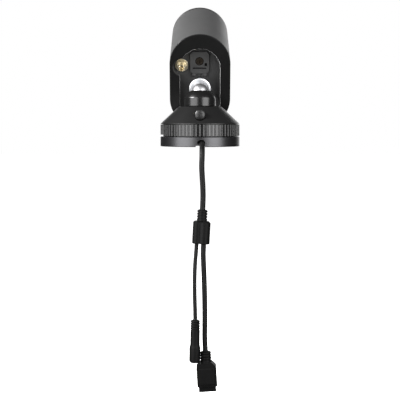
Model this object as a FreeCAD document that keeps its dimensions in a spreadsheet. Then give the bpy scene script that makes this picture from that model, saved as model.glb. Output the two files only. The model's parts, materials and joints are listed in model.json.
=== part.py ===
"""Outdoor network camera on a ball mount, with its pigtail cable.

The base stands on z = 0 with its axis on Z.  The camera looks along +Y and is tilted nose up.
Pieces of the camera head are drawn in the head's own frame: its origin is the centre of the
ball, Y runs forward along the stud and Z is the head's own up.
"""
import FreeCAD, Part
import math
import os

import Sketcher

Vector = FreeCAD.Vector

DIMENSIONS = (
    # base
    ("base_radius", 39.4, "radius of the base plate"),
    ("base_height", 9.7, "height of the base plate's rim"),
    ("base_floor", 3.0, "thickness of the base plate's floor"),
    ("base_edge", 0.5, "chamfer on the base plate's rim"),
    ("lead_hole", 9.0, "radius of the lead hole in the floor"),
    ("spigot_radius", 36.0, "outer radius of the spigot that the ring turns on"),
    ("spigot_inside", 33.8, "inner radius of the spigot"),
    ("spigot_top", 17.0, "height of the spigot's top"),
    ("screw_circle", 27.0, "radius of the mounting screw circle"),
    ("screw_hole", 2.25, "radius of a mounting screw hole"),
    ("screw_sink", 4.4, "radius of a mounting screw's counterbore"),
    ("screw_sink_depth", 1.2, "depth of the counterbore"),
    ("notch_centre", 1.2, "sideways place of the cable notch"),
    ("notch_half", 3.75, "half the width of the cable notch"),
    ("notch_height", 6.8, "height of the cable notch"),
    ("notch_flare", 1.7, "flare at the notch's lower corner"),
    ("notch_foot", 0.6, "height of the notch's upright foot"),
    ("lug_reach", 0.9, "how far a bayonet lug stands out of the spigot"),
    ("lug_low", 13.3, "height of a bayonet lug's underside"),
    ("lug_high", 15.3, "height of a bayonet lug's top"),
    ("lug_half", 4.0, "half the width of a bayonet lug"),
    ("seal_thickness", 1.0, "thickness of the seal under the cone"),
    ("loose_gap", 0.3, "gap between pieces that turn past each other"),
    # lock ring
    ("ring_bottom", 10.1, "height of the lock ring's underside"),
    ("ring_top", 21.8, "height of the lock ring's top"),
    ("ring_core", 38.4, "radius of the lock ring under its ribs"),
    ("rib_radius", 0.95, "radius of a grip rib"),
    ("rib_margin", 0.25, "plain height below and above the ribs"),
    ("ring_lip", 2.7, "height of the ring's lower lip"),
    ("ring_neck", 1.8, "how far the ring's top lip and the cone's neck lie inside the core"),
    ("ring_edge", 0.4, "chamfer of the ring's core"),
    ("entry_gap", 1.0, "gap beside a lug in its entry"),
    ("entry_ease", 0.6, "how much wider an entry is at its mouth"),
    ("ring_turn", 30.0, "how far the ring turns to unlock, degrees"),
    ("pry_depth", 3.2, "depth of the pry notch"),
    ("pry_height", 1.5, "height of the pry notch"),
    ("pry_half", 16.5, "half the length of the pry notch"),
    # cone
    ("cone_radius", 39.2, "radius of the cone's foot"),
    ("cone_foot", 22.1, "height of the cone's foot"),
    ("cone_foot_edge", 0.5, "height of the cone's upright edge"),
    ("cone_top_radius", 21.2, "radius of the cone's flat top"),
    ("cone_top", 39.3, "height of the cone's flat top"),
    ("cone_wall", 2.6, "wall of the cone"),
    ("cone_flange", 37.3, "radius of the flange that the ring holds down"),
    ("flange_thickness", 2.0, "thickness of that flange"),
    ("hub_radius", 14.5, "radius of the cone's hub"),
    ("hub_bottom", 27.6, "height of the hub's underside"),
    ("knob_height", 31.0, "height of the pan lock knob's axis"),
    ("knob_radius", 5.25, "radius of the pan lock knob"),
    ("knob_back", 28.5, "distance of the knob's back from the pan axis"),
    ("knob_front", 34.0, "distance of the knob's front rim from the pan axis"),
    ("knob_dome", 1.5, "height of the knob's domed face"),
    ("knob_screw", 2.0, "radius of the knob's screw"),
    ("knob_gap", 0.5, "gap around the knob in its pocket"),
    ("fit", 0.05, "radial clearance of a running fit"),
    # post
    ("post_radius", 11.0, "radius of the post in the hub"),
    ("post_bottom", 24.0, "height of the post's lower end"),
    ("clip_low", 25.0, "height of the clip's underside"),
    ("clip_thickness", 1.2, "thickness of the clip"),
    ("clip_depth", 0.8, "depth of the clip's groove"),
    ("clip_radius", 13.0, "outer radius of the clip"),
    ("washer_thickness", 1.0, "thickness of the post washer"),
    ("collar_radius", 15.8, "radius of the collar"),
    ("crown_radius", 17.0, "radius of the collar's round shoulder"),
    ("crown_drop", 14.0, "how far the shoulder's centre lies under the rim"),
    ("rim_rise", 1.2, "how far the rim stands above the ball's centre"),
    ("ball_height", 54.0, "height of the ball's centre"),
    ("ball_radius", 8.4, "radius of the ball"),
    ("lead_bore", 4.4, "radius of the way for the lead"),
    ("seat_top", 49.0, "height of the ball seat's top"),
    ("seat_bottom", 42.5, "height of the ball seat's underside"),
    ("spring_height", 4.0, "height of the disc spring pair"),
    ("spring_metal", 0.9, "thickness of a disc spring"),
    ("plug_height", 8.0, "height of the threaded plug"),
    # stud
    ("rest_tilt", 17.3, "nose-up angle of the head at rest, degrees"),
    ("neck_radius", 4.3, "radius of the stud's neck"),
    ("flange_start", 10.0, "distance of the stud flange from the ball's centre"),
    ("flange_end", 12.5, "distance of the flange's far face"),
    ("flange_radius", 10.7, "radius of the stud flange"),
    ("flange_edge", 0.4, "chamfer of the stud flange's front"),
    ("flange_rim", 1.8, "width of the bevel on the stud flange's rear"),
    ("flange_rim_depth", 0.9, "depth of that bevel"),
    ("shank_radius", 4.0, "radius of the stud's shank"),
    ("shank_end", 55.0, "distance of the shank's end"),
    ("stud_bore", 2.8, "radius of the bore through the stud"),
    ("nut_flats", 12.0, "width of the stud nut across its flats"),
    ("nut_height", 4.5, "height of the stud nut"),
    ("cable_radius", 2.6, "radius of the main cable"),
    # head
    ("pill_radius", 30.9, "radius of the head's round ends"),
    ("pill_high", 20.6, "height of the upper round end's centre"),
    ("pill_low", -15.6, "height of the lower round end's centre"),
    ("head_start", 28.5, "distance of the head's rear face from the ball"),
    ("head_length", 132.0, "length of the head"),
    ("shell_wall", 2.4, "wall of the body shell"),
    ("shell_gap", 0.1, "gap between the shell and what fits inside"),
    ("cap_plate", 1.8, "thickness of the rear cap's plate"),
    ("cap_edge", 0.6, "chamfer of the rear cap"),
    ("head_seal", 0.6, "thickness of the head's seals"),
    ("recess_half", 20.6, "half the width of the rear recess"),
    ("recess_centre", 16.1, "height of the recess arch's centre"),
    ("recess_depth", 10.0, "depth of the rear recess"),
    ("recess_wall", 2.4, "wall of the recess"),
    ("insert_radius", 6.5, "radius of the threaded insert behind the recess wall"),
    ("insert_face", 5.3, "radius of the insert's face in the recess"),
    ("insert_length", 9.5, "length of the threaded insert behind the recess floor"),
    ("insert_proud", 0.6, "how far the insert stands out of the recess floor"),
    # aerial
    ("aerial_x", -18.7, "sideways place of the aerial socket"),
    ("aerial_z", 17.5, "height of the aerial socket"),
    ("aerial_pocket", 9.0, "radius of the aerial pocket"),
    ("aerial_floor", 37.5, "distance of the aerial pocket's floor"),
    ("aerial_barrel", 3.18, "radius of the aerial socket's thread"),
    ("aerial_root", 2.8, "radius of the thread's root, which the aerial nut holds"),
    ("aerial_flange", 4.5, "radius of the aerial socket's flange"),
    ("aerial_flange_thickness", 1.6, "thickness of that flange"),
    ("aerial_wall", 1.6, "wall of the aerial pocket"),
    ("aerial_out", 13.5, "how far the socket stands off its floor"),
    ("aerial_in", 8.0, "how far the socket reaches behind its floor"),
    ("aerial_mouth", 2.3, "radius of the socket's mouth"),
    ("aerial_mouth_depth", 7.0, "depth of the socket's mouth"),
    ("aerial_contact", 0.65, "radius of the centre contact"),
    ("aerial_washer", 6.6, "radius of the aerial washer"),
    ("aerial_washer_thickness", 0.7, "thickness of the aerial washer"),
    ("aerial_nut_flats", 8.8, "width of the aerial nut"),
    ("aerial_nut_height", 2.2, "height of the aerial nut"),
    ("coax_radius", 0.9, "radius of the aerial lead"),
    # service door
    ("door_x", -0.5, "sideways place of the service door"),
    ("door_half", 9.8, "half the width of the service door"),
    ("door_low", 9.0, "height of the door's lower edge"),
    ("door_high", 31.8, "height of the door's upper edge"),
    ("door_corner", 4.2, "corner radius of the door"),
    ("door_thickness", 2.2, "thickness of the door"),
    ("door_rebate", 1.2, "depth of the door's rebate"),
    ("door_gap", 0.3, "gap around the door"),
    ("hinge_z", 7.2, "height of the door's hinge"),
    ("hinge_out", 1.5, "how far the door's hinge lies in front of the recess floor"),
    ("hinge_pin", 0.7, "radius of the hinge pins"),
    ("knuckle_radius", 1.5, "radius of a hinge knuckle"),
    ("knuckle_half", 1.3, "half the width of a door knuckle"),
    ("ear_thickness", 1.2, "thickness of a hinge ear"),
    ("hinge_spread", 5.4, "distance of each hinge from the door's middle"),
    ("window_half", 8.1, "half the width of the openings behind the door"),
    ("card_window_low", 12.2, "lower edge of the card opening"),
    ("card_window_high", 18.6, "upper edge of the card opening"),
    ("door_seal_width", 1.0, "width of the door seal"),
    ("lock_z", 21.8, "height of the door lock"),
    ("lock_radius", 3.7, "radius of the door lock's head"),
    ("lock_well", 4.3, "radius of the lock's well in the door"),
    ("lock_screw", 1.5, "radius of the lock's screw"),
    ("lock_reach", 3.4, "length of the lock's screw behind the door face"),
    ("lock_groove", 0.45, "half the width of the grooves in the lock's head"),
    ("lock_groove_depth", 0.7, "depth of those grooves"),
    ("lock_play", 0.8, "play of the screw in the cap"),
    ("nail_slot_z", 14.6, "height of the door's nail slot"),
    ("nail_slot_half", 6.8, "half the width of the nail slot"),
    ("nail_slot_height", 1.2, "height of the nail slot"),
    ("nail_slot_depth", 1.5, "depth of the nail slot"),
    ("latch_left", 5.3, "place of the door's key slot, to the right of the door's middle"),
    ("latch_width", 2.3, "width of the key slot"),
    ("latch_drop", 5.2, "how far the key slot's lower end lies under the lock"),
    ("latch_height", 3.3, "height of the key slot"),
    # card and reset
    ("card_half", 7.5, "half the width of the memory card"),
    ("card_length", 15.0, "length of the memory card"),
    ("card_thickness", 1.0, "thickness of the memory card"),
    ("card_z", 13.4, "height of the memory card's middle"),
    ("card_start", 42.0, "distance of the card's outer edge"),
    ("slot_start", 44.0, "distance of the card slot's mouth"),
    ("slot_wall", 0.8, "wall of the card slot"),
    ("card_gap", 0.12, "gap around the card in its slot"),
    ("card_travel", 0.8, "how far the card is pushed to release it"),
    ("reset_x", 4.0, "sideways place of the reset button"),
    ("reset_z", 17.0, "height of the reset button"),
    ("reset_radius", 1.1, "radius of the reset button"),
    ("reset_start", 43.0, "distance of the reset button's face"),
    ("reset_travel", 0.5, "travel of the reset button"),
    # front
    ("bezel_depth", 3.4, "depth of the front bezel"),
    ("bezel_lip", 0.9, "thickness of the bezel's front lip"),
    ("bezel_opening", 25.4, "radius of the bezel's round ends inside the lip"),
    ("bezel_spigot", 6.0, "length of the bezel's spigot in the shell"),
    ("bezel_spigot_wall", 1.5, "wall of the bezel's spigot"),
    ("window_radius", 26.8, "radius of the front window's round ends"),
    ("window_thickness", 2.4, "thickness of the front window"),
    # optics
    ("lens_z", 13.0, "height of the lens axis"),
    ("barrel_radius", 10.4, "radius of the lens barrel's front"),
    ("barrel_rear_radius", 7.0, "radius of the lens barrel's threaded rear"),
    ("barrel_front", 153.0, "distance of the lens barrel's front"),
    ("barrel_step", 136.0, "distance of the step in the lens barrel"),
    ("barrel_back", 120.0, "distance of the lens barrel's rear"),
    ("front_glass", 8.0, "radius of the front lens element"),
    ("rear_glass", 5.0, "radius of the rear lens element"),
    ("glass_thickness", 2.4, "thickness of a lens element at its edge"),
    ("shade_radius", 11.9, "outer radius of the lens shade"),
    ("shade_wall", 1.0, "wall of the lens shade"),
    ("holder_half", 12.0, "half the width of the lens holder"),
    ("holder_back", 112.0, "distance of the lens holder's back"),
    ("holder_length", 16.0, "length of the lens holder"),
    ("sensor_board_half", 17.0, "half the width of the sensor board"),
    ("sensor_half", 5.0, "half the width of the image sensor"),
    ("sensor_thickness", 1.2, "thickness of the image sensor"),
    ("filter_half", 4.5, "half the width of the infrared filter"),
    ("filter_thickness", 0.6, "thickness of the infrared filter"),
    ("board_thickness", 1.6, "thickness of a circuit board"),
    ("coil_radius", 3.5, "radius of the main board's coil"),
    ("capacitor_radius", 5.0, "radius of a capacitor on the power board"),
    ("capacitor_height", 14.0, "height of those capacitors"),
    ("transformer_half", 9.0, "half the width of the transformer"),
    ("transformer_height", 13.0, "height of the transformer"),
    ("lamp_board_radius", 25.8, "radius of the lamp board's round ends"),
    ("lamp_board_start", 148.0, "distance of the lamp board"),
    ("lamp_board_hole", 12.3, "radius of the lens hole in the lamp board"),
    ("lamp_radius", 2.5, "radius of an infrared lamp"),
    ("lamp_height", 1.6, "height of a lamp's body below its dome"),
    ("lamp_circle", 18.6, "radius of the lamp circle around the lens"),
    ("lamp_row_z", -22.0, "height of the middle of the lamp rows"),
    ("lamp_pitch", 9.0, "pitch of the lamp rows"),
    # inside
    ("rail_half", 22.4, "half the width of the chassis"),
    ("rail_wall", 1.6, "sheet thickness of the chassis"),
    ("rail_low", -22.0, "height of the chassis floor"),
    ("rail_flange", 6.0, "width of the chassis flanges"),
    ("rail_start", 44.0, "distance of the chassis's rear edge"),
    ("rail_end", 144.0, "distance of the chassis's front edge"),
    ("main_board_z", 8.8, "height of the main board's underside"),
    ("main_board_half", 23.0, "half the width of the main board"),
    ("main_board_end", 106.0, "distance of the main board's front edge"),
    ("power_board_z", -14.0, "height of the power board's underside"),
    ("power_board_half", 17.0, "half the width of the power board"),
    ("power_board_start", 62.0, "distance of the power board's rear edge"),
    ("power_board_end", 138.0, "distance of the power board's front edge"),
    ("board_screw", 1.25, "radius of a board screw"),
    ("board_screw_head", 2.4, "radius of a board screw's head"),
    ("chip_half", 8.0, "half the width of the processor"),
    ("chip_forward", 8.0, "how far the processor sits in front of the main board's middle"),
    ("chip_height", 1.6, "height of the processor"),
    ("spreader_half", 15.0, "half the width of the heat spreader"),
    ("fin_height", 6.0, "height of the heat spreader's fins"),
    # pigtail
    ("cable_level", 3.6, "height of the cable in the base"),
    ("clamp_start", -31.0, "place of the cable clamp's outer face"),
    ("clamp_length", 7.0, "length of the cable clamp"),
    ("clamp_top", 9.0, "height of the cable clamp's top"),
    ("clamp_half", 10.0, "half the width of the cable clamp"),
    ("clamp_screw", 1.5, "radius of a clamp screw"),
    ("clamp_inset", 2.6, "distance of a clamp screw from the clamp's side"),
    ("relief_radius", 4.9, "radius of the splitter's ribbed relief"),
    ("relief_length", 10.8, "length of that relief"),
    ("relief_shoulder", 1.2, "how far a relief's end stands out of its cable"),
    ("groove_depth", 0.7, "depth of the grooves in a relief"),
    ("groove_mouth", 0.45, "half the width of a groove at its mouth"),
    ("groove_floor", 0.35, "half the width of a groove at its floor"),
    ("split_length", 22.0, "length of the splitter's body"),
    ("split_lean", 3.0, "lean of the splitter, degrees"),
    ("split_power_x", -4.0, "place of the power lobe"),
    ("split_power_radius", 4.4, "radius of the power lobe"),
    ("split_data_x", 2.7, "place of the data lobe"),
    ("split_data_radius", 5.7, "radius of the data lobe"),
    ("power_cable_radius", 1.95, "radius of the power cable"),
    ("data_cable_radius", 2.5, "radius of the data cable"),
    ("power_relief_radius", 4.5, "radius of the power socket's relief"),
    ("power_relief_length", 12.0, "length of the power socket's relief"),
    ("power_neck_length", 12.0, "length of the power socket's neck"),
    ("power_body_radius", 5.3, "radius of the power socket's body"),
    ("power_body_length", 17.6, "length of the power socket's body"),
    ("power_bore", 2.8, "radius of the power socket's bore"),
    ("power_bore_depth", 10.0, "depth of the power socket's bore"),
    ("power_pin", 1.05, "radius of the power socket's pin"),
    ("power_lean", 0.9, "lean of the power socket, degrees"),
    ("data_relief_radius", 5.4, "radius of the data socket's relief"),
    ("data_relief_length", 11.0, "length of the data socket's relief"),
    ("data_body_half", 9.6, "half the width of the data socket's body"),
    ("data_body_depth", 15.5, "depth of the data socket's body, front to back"),
    ("data_body_length", 23.0, "length of the data socket's body"),
    ("data_lip_half", 8.3, "half the width of the data socket's mouth"),
    ("data_lip_length", 5.0, "length of the data socket's mouth"),
    ("data_lean", -3.4, "lean of the data socket, degrees"),
    ("jack_half", 5.9, "half the width of the jack opening"),
    ("jack_height", 7.0, "height of the jack opening"),
    ("jack_depth", 15.0, "depth of the jack opening"),
    ("jack_latch_half", 3.1, "half the width of the jack's latch channel"),
    ("jack_latch_height", 2.6, "height of the jack's latch channel"),
)

RIB_COUNT = 64
SCREW_COUNT = 3
LUG_COUNT = 3
CIRCLE_LAMPS = 9
FIN_COUNT = 6
JACK_CONTACTS = 8

# The free cables: each route is a list of points, x, y and z in millimetres.
MAIN_ROUTE = (
    (2.15, -31.0, 3.6),
    (2.15, -40.2, 3.6),
    (2.1, -48.2, -1.0),
    (2.0, -52.8, -9.1),
    (1.6, -53.4, -18.2),
    (2.1, -53.5, -27.6),
    (2.75, -53.5, -37.6),
    (3.0, -53.4, -48.5),
    (2.45, -53.4, -59.3),
)
POWER_ROUTE = (
    (-3.26, -53.4, -91.85),
    (-3.66, -53.5, -99.4),
    (-4.55, -54.2, -108.0),
    (-5.05, -55.3, -119.0),
    (-5.25, -56.0, -131.3),
    (-5.05, -56.3, -143.6),
    (-4.7, -56.4, -154.8),
    (-4.5, -56.4, -165.0),
)
DATA_ROUTE = (
    (3.43, -53.4, -92.2),
    (3.0, -53.4, -100.4),
    (3.35, -53.1, -110.4),
    (3.9, -52.6, -122.8),
    (4.35, -52.3, -137.6),
    (4.65, -52.1, -153.8),
    (4.7, -52.0, -170.6),
    (4.5, -52.0, -184.2),
    (5.15, -52.0, -196.2),
)


class Size:
    """A number together with the expression that gives it from the sheet."""

    def __init__(self, value, text):
        self.value = float(value)
        self.text = text

    @staticmethod
    def of(other):
        if isinstance(other, Size):
            return other
        return Size(other, repr(float(other)))

    def join(self, other, value, sign):
        return Size(value, "(" + self.text + sign + other.text + ")")

    def __add__(self, other):
        other = Size.of(other)
        return self.join(other, self.value + other.value, " + ")

    def __sub__(self, other):
        other = Size.of(other)
        return self.join(other, self.value - other.value, " - ")

    def __mul__(self, other):
        other = Size.of(other)
        return self.join(other, self.value * other.value, " * ")

    def __truediv__(self, other):
        other = Size.of(other)
        return self.join(other, self.value / other.value, " / ")

    def __radd__(self, other):
        return Size.of(other) + self

    def __rsub__(self, other):
        return Size.of(other) - self

    def __rmul__(self, other):
        return Size.of(other) * self

    def __neg__(self):
        return Size(-self.value, "(0 - " + self.text + ")")


class Sizes:
    """Every driving dimension by name."""


doc = FreeCAD.newDocument("network_camera")
sheet = doc.addObject("Spreadsheet::Sheet", "sizes")
D = Sizes()
for row, (name, value, words) in enumerate(DIMENSIONS, start=1):
    sheet.set("A" + str(row), words)
    sheet.set("B" + str(row), str(value))
    sheet.setAlias("B" + str(row), name)
    setattr(D, name, Size(value, "sizes." + name))
doc.recompute()

ZERO = Size.of(0)
SUBPARTS = {}
PLACES = {}
X_AXIS = (1, 0, 0)
Y_AXIS = (0, 1, 0)
Z_AXIS = (0, 0, 1)
DIAGONAL = (1, 1, 1)
FORWARD = (X_AXIS, -90)
SIDEWAYS = (Y_AXIS, 90)


# ---------------------------------------------------------------- drawing kit

def place_text(x, y, z, turns):
    """The expression of a placement: a move, then turns about axes through the moved origin."""
    numbers = "; ".join(Size.of(number).text for number in (x, y, z))
    start = "create(<<placement>>; create(<<vector>>; " + numbers + "); "
    text = start + "create(<<rotation>>; create(<<vector>>; 0; 0; 1); 0))"
    for axis, angle in turns:
        way = "create(<<vector>>; " + "; ".join(str(number) for number in axis) + ")"
        turn = "create(<<rotation>>; " + way + "; " + Size.of(angle).text + ")"
        text += " * create(<<placement>>; create(<<vector>>; 0; 0; 0); " + turn + ")"
    return text


def move(piece, x, y, z, *turns):
    """Put a piece somewhere in the frame that it is drawn in."""
    PLACES[piece.Name] = place_text(x, y, z, turns)
    piece.setExpression("Placement", PLACES[piece.Name])
    return piece


def head_frame():
    return place_text(0, 0, D.ball_height, [(X_AXIS, D.rest_tilt)])


def keep(name, piece, frame=None):
    """Name a finished sub-part, and set it in its frame."""
    piece.Label = name
    SUBPARTS[name] = piece
    own = PLACES.get(piece.Name)
    if frame and own:
        piece.setExpression("Placement", frame + " * " + own)
    elif frame:
        piece.setExpression("Placement", frame)
    return piece


def primitive(kind, name, **sizes):
    piece = doc.addObject("Part::" + kind, name)
    for prop, size in sizes.items():
        piece.setExpression(prop, Size.of(size).text)
    return piece


def rod(name, radius, start, end, x=0, z=0):
    """A cylinder along Y."""
    piece = primitive("Cylinder", name, Radius=radius, Height=Size.of(end) - start)
    return move(piece, x, start, z, FORWARD)


def drum(name, radius, low, high, x=0, y=0):
    """A cylinder along Z."""
    piece = primitive("Cylinder", name, Radius=radius, Height=Size.of(high) - low)
    return move(piece, x, y, low)


def axle(name, radius, start, end, y, z):
    """A cylinder along X."""
    piece = primitive("Cylinder", name, Radius=radius, Height=Size.of(end) - start)
    return move(piece, start, y, z, SIDEWAYS)


def block(name, x_low, x_high, y_low, y_high, z_low, z_high):
    """A box between two corners."""
    wide = Size.of(x_high) - x_low
    deep = Size.of(y_high) - y_low
    tall = Size.of(z_high) - z_low
    piece = primitive("Box", name, Length=wide, Width=deep, Height=tall)
    return move(piece, x_low, y_low, z_low)


def joined(name, *pieces):
    piece = doc.addObject("Part::MultiFuse", name)
    piece.Shapes = list(pieces)
    piece.Refine = True
    return piece


def grouped(name, *pieces):
    """Separate solids that share one node."""
    piece = doc.addObject("Part::Compound", name)
    piece.Links = list(pieces)
    return piece


def cut(name, base, *tools):
    piece = doc.addObject("Part::Cut", name)
    piece.Base = base
    piece.Tool = tools[0] if len(tools) == 1 else joined(name + "_tools", *tools)
    return piece


def overlap(name, first, second):
    piece = doc.addObject("Part::Common", name)
    piece.Base = first
    piece.Tool = second
    return piece


def hexagon(name, flats, start, height, x=0, z=0):
    """A hexagonal prism along Y."""
    piece = primitive("Prism", name, Circumradius=flats / math.sqrt(3), Height=height)
    piece.Polygon = 6
    return move(piece, x, start, z, FORWARD)


# ---------------------------------------------------------------- sketches

def pin_down(sketch, geometry, point, x, y):
    """Hold one sketch point at x and y, each bound to the sheet."""
    for kind, size, axis in (("DistanceX", x, -2), ("DistanceY", y, -1)):
        size = Size.of(size)
        if size.text == ZERO.text:
            sketch.addConstraint(Sketcher.Constraint("PointOnObject", geometry, point, axis))
            continue
        rule = Sketcher.Constraint(kind, -1, 1, geometry, point, size.value)
        index = sketch.addConstraint(rule)
        sketch.setExpression("Constraints[" + str(index) + "]", size.text)


def hold_radius(sketch, geometry, radius):
    index = sketch.addConstraint(Sketcher.Constraint("Radius", geometry, radius.value))
    sketch.setExpression("Constraints[" + str(index) + "]", radius.text)


def draw_polygon(sketch, points):
    """Draw a closed polygon whose corners are bound to the sheet."""
    points = [(Size.of(x), Size.of(y)) for x, y in points]
    corners = [Vector(x.value, y.value, 0) for x, y in points]
    sides = []
    for start, end in zip(corners, corners[1:] + corners[:1]):
        sides.append(sketch.addGeometry(Part.LineSegment(start, end)))
    for side, following in zip(sides, sides[1:] + sides[:1]):
        sketch.addConstraint(Sketcher.Constraint("Coincident", side, 2, following, 1))
    for side, (x, y) in zip(sides, points):
        pin_down(sketch, side, 1, x, y)


def body_sketch(body, name, role="XZ_Plane"):
    """A sketch on one of a body's own origin planes."""
    sketch = body.newObject("Sketcher::SketchObject", name)
    plane = [item for item in body.Origin.OriginFeatures if item.Role == role][0]
    sketch.AttachmentSupport = [(plane, "")]
    sketch.MapMode = "FlatFace"
    return sketch


def turned(name, points):
    """A body turned about Z from a profile of radius and height."""
    body = doc.addObject("PartDesign::Body", name)
    sketch = body_sketch(body, name + "_profile")
    draw_polygon(sketch, points)
    feature = body.newObject("PartDesign::Revolution", name + "_turning")
    feature.Profile = sketch
    feature.ReferenceAxis = (sketch, ["V_Axis"])
    feature.Angle = 360
    return body


def turned_forward(name, points, x=0, z=0):
    """A body turned about a line along Y, from a profile of radius and distance."""
    return move(turned(name, points), x, 0, z, FORWARD)


def ring(name, inner, outer, low, high):
    return turned(name, [(inner, low), (outer, low), (outer, high), (inner, high)])


def free_sketch(name, start):
    """A sketch of its own in the plane y = start, with its own y along Z."""
    sketch = doc.addObject("Sketcher::SketchObject", name)
    return move(sketch, 0, start, 0, (X_AXIS, 90))


def pill_outline(name, radius, start):
    """The head's outline: two round ends joined by straight sides."""
    sketch = free_sketch(name, start)
    flat = Vector(0, 0, 1)
    reach = radius.value
    high = D.pill_high.value
    low = D.pill_low.value
    top_circle = Part.Circle(Vector(0, high, 0), flat, reach)
    low_circle = Part.Circle(Vector(0, low, 0), flat, reach)
    top = sketch.addGeometry(Part.ArcOfCircle(top_circle, 0, math.pi))
    left = sketch.addGeometry(Part.LineSegment(Vector(-reach, high, 0), Vector(-reach, low, 0)))
    base = sketch.addGeometry(Part.ArcOfCircle(low_circle, math.pi, 2 * math.pi))
    right = sketch.addGeometry(Part.LineSegment(Vector(reach, low, 0), Vector(reach, high, 0)))
    loop = ((top, 2, left, 1), (left, 2, base, 1), (base, 2, right, 1), (right, 2, top, 1))
    for first, first_end, second, second_end in loop:
        sketch.addConstraint(Sketcher.Constraint("Tangent", first, first_end, second, second_end))
    pin_down(sketch, top, 3, 0, D.pill_high)
    pin_down(sketch, base, 3, 0, D.pill_low)
    hold_radius(sketch, top, radius)
    sketch.addConstraint(Sketcher.Constraint("Equal", top, base))
    return sketch


def arch_outline(name, half, bottom, start):
    """The recess's outline: a round arch on straight sides, down to a level bottom."""
    sketch = free_sketch(name, start)
    reach = half.value
    high = D.recess_centre.value
    low = bottom.value
    circle = Part.Circle(Vector(0, high, 0), Vector(0, 0, 1), reach)
    corners = [Vector(x, y, 0) for x, y in ((-reach, high), (-reach, low), (reach, low), (reach, high))]
    top = sketch.addGeometry(Part.ArcOfCircle(circle, 0, math.pi))
    left = sketch.addGeometry(Part.LineSegment(corners[0], corners[1]))
    base = sketch.addGeometry(Part.LineSegment(corners[1], corners[2]))
    right = sketch.addGeometry(Part.LineSegment(corners[2], corners[3]))
    sketch.addConstraint(Sketcher.Constraint("Tangent", top, 2, left, 1))
    sketch.addConstraint(Sketcher.Constraint("Coincident", left, 2, base, 1))
    sketch.addConstraint(Sketcher.Constraint("Coincident", base, 2, right, 1))
    sketch.addConstraint(Sketcher.Constraint("Tangent", right, 2, top, 1))
    pin_down(sketch, top, 3, 0, D.recess_centre)
    hold_radius(sketch, top, half)
    pin_down(sketch, base, 1, -half, bottom)
    sketch.addConstraint(Sketcher.Constraint("Horizontal", base))
    return sketch


def slab(name, outline, thickness):
    """A flat piece along Y with a sketched outline."""
    piece = doc.addObject("Part::Extrusion", name)
    piece.Base = outline
    piece.DirMode = "Custom"
    piece.Dir = Vector(0, 1, 0)
    piece.Solid = True
    piece.setExpression("LengthFwd", Size.of(thickness).text)
    return piece


def pill(name, radius, start, end):
    outline = pill_outline(name + "_outline", Size.of(radius), start)
    return slab(name, outline, Size.of(end) - start)


def pill_ring(name, outer, inner, start, end):
    whole = pill(name + "_whole", outer, start, end)
    hole = pill(name + "_hole", inner, start, end)
    return cut(name, whole, hole)


def rounded_plate(name, half, low, high, corner, start, end, x):
    """A plate along Y with four rounded corners."""
    box = block(name + "_plate", x - half, x + half, start, end, low, high)
    piece = doc.addObject("Part::Fillet", name)
    piece.Base = box
    doc.recompute()
    upright = []
    for index, edge in enumerate(box.Shape.Edges, start=1):
        ends = [vertex.Point for vertex in edge.Vertexes]
        if abs(ends[0].y - ends[1].y) > 0.5 * abs(end.value - start.value):
            upright.append((index, corner.value, corner.value))
    piece.Edges = upright
    return piece


# ---------------------------------------------------------------- cables

def route_wire(points):
    """Straight runs joined by arcs as large as their runs allow."""
    points = [Vector(*point) for point in points]
    edges = []
    radii = []
    last = points[0]
    for before, corner, after in zip(points, points[1:], points[2:]):
        run_in = corner - before
        run_out = after - corner
        half_turn = run_in.getAngle(run_out) / 2
        reach = 0.45 * min(run_in.Length, run_out.Length)
        radii.append(reach / math.tan(half_turn))
        arc_start = corner - run_in.normalize() * reach
        arc_end = corner + run_out.normalize() * reach
        inward = (run_out - run_in).normalize()
        middle = corner + inward * (radii[-1] / math.cos(half_turn) - radii[-1])
        edges.append(Part.LineSegment(last, arc_start).toShape())
        edges.append(Part.Arc(arc_start, middle, arc_end).toShape())
        last = arc_end
    edges.append(Part.LineSegment(last, points[-1]).toShape())
    return Part.Wire(edges), radii


def tube(name, points, radius):
    """A cable's solid along its route, with its volume compared with section times length."""
    wire, radii = route_wire(points)
    start = Vector(*points[0])
    way = Vector(*points[1]) - start
    section = Part.Wire(Part.Circle(start, way, radius.value).toShape())
    solid = wire.makePipeShell([section], True, False)
    expected = math.pi * radius.value ** 2 * wire.Length
    if abs(solid.Volume - expected) > 0.002 * expected:
        raise ValueError(name + " has the wrong volume")
    diameters = min(radii) / (2 * radius.value)
    print(name, "length", round(wire.Length, 1), "smallest radius", round(min(radii), 1),
          "mm or", round(diameters, 1), "diameters")
    piece = doc.addObject("Part::Feature", name)
    piece.Shape = solid
    return piece


# ---------------------------------------------------------------- base

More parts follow.
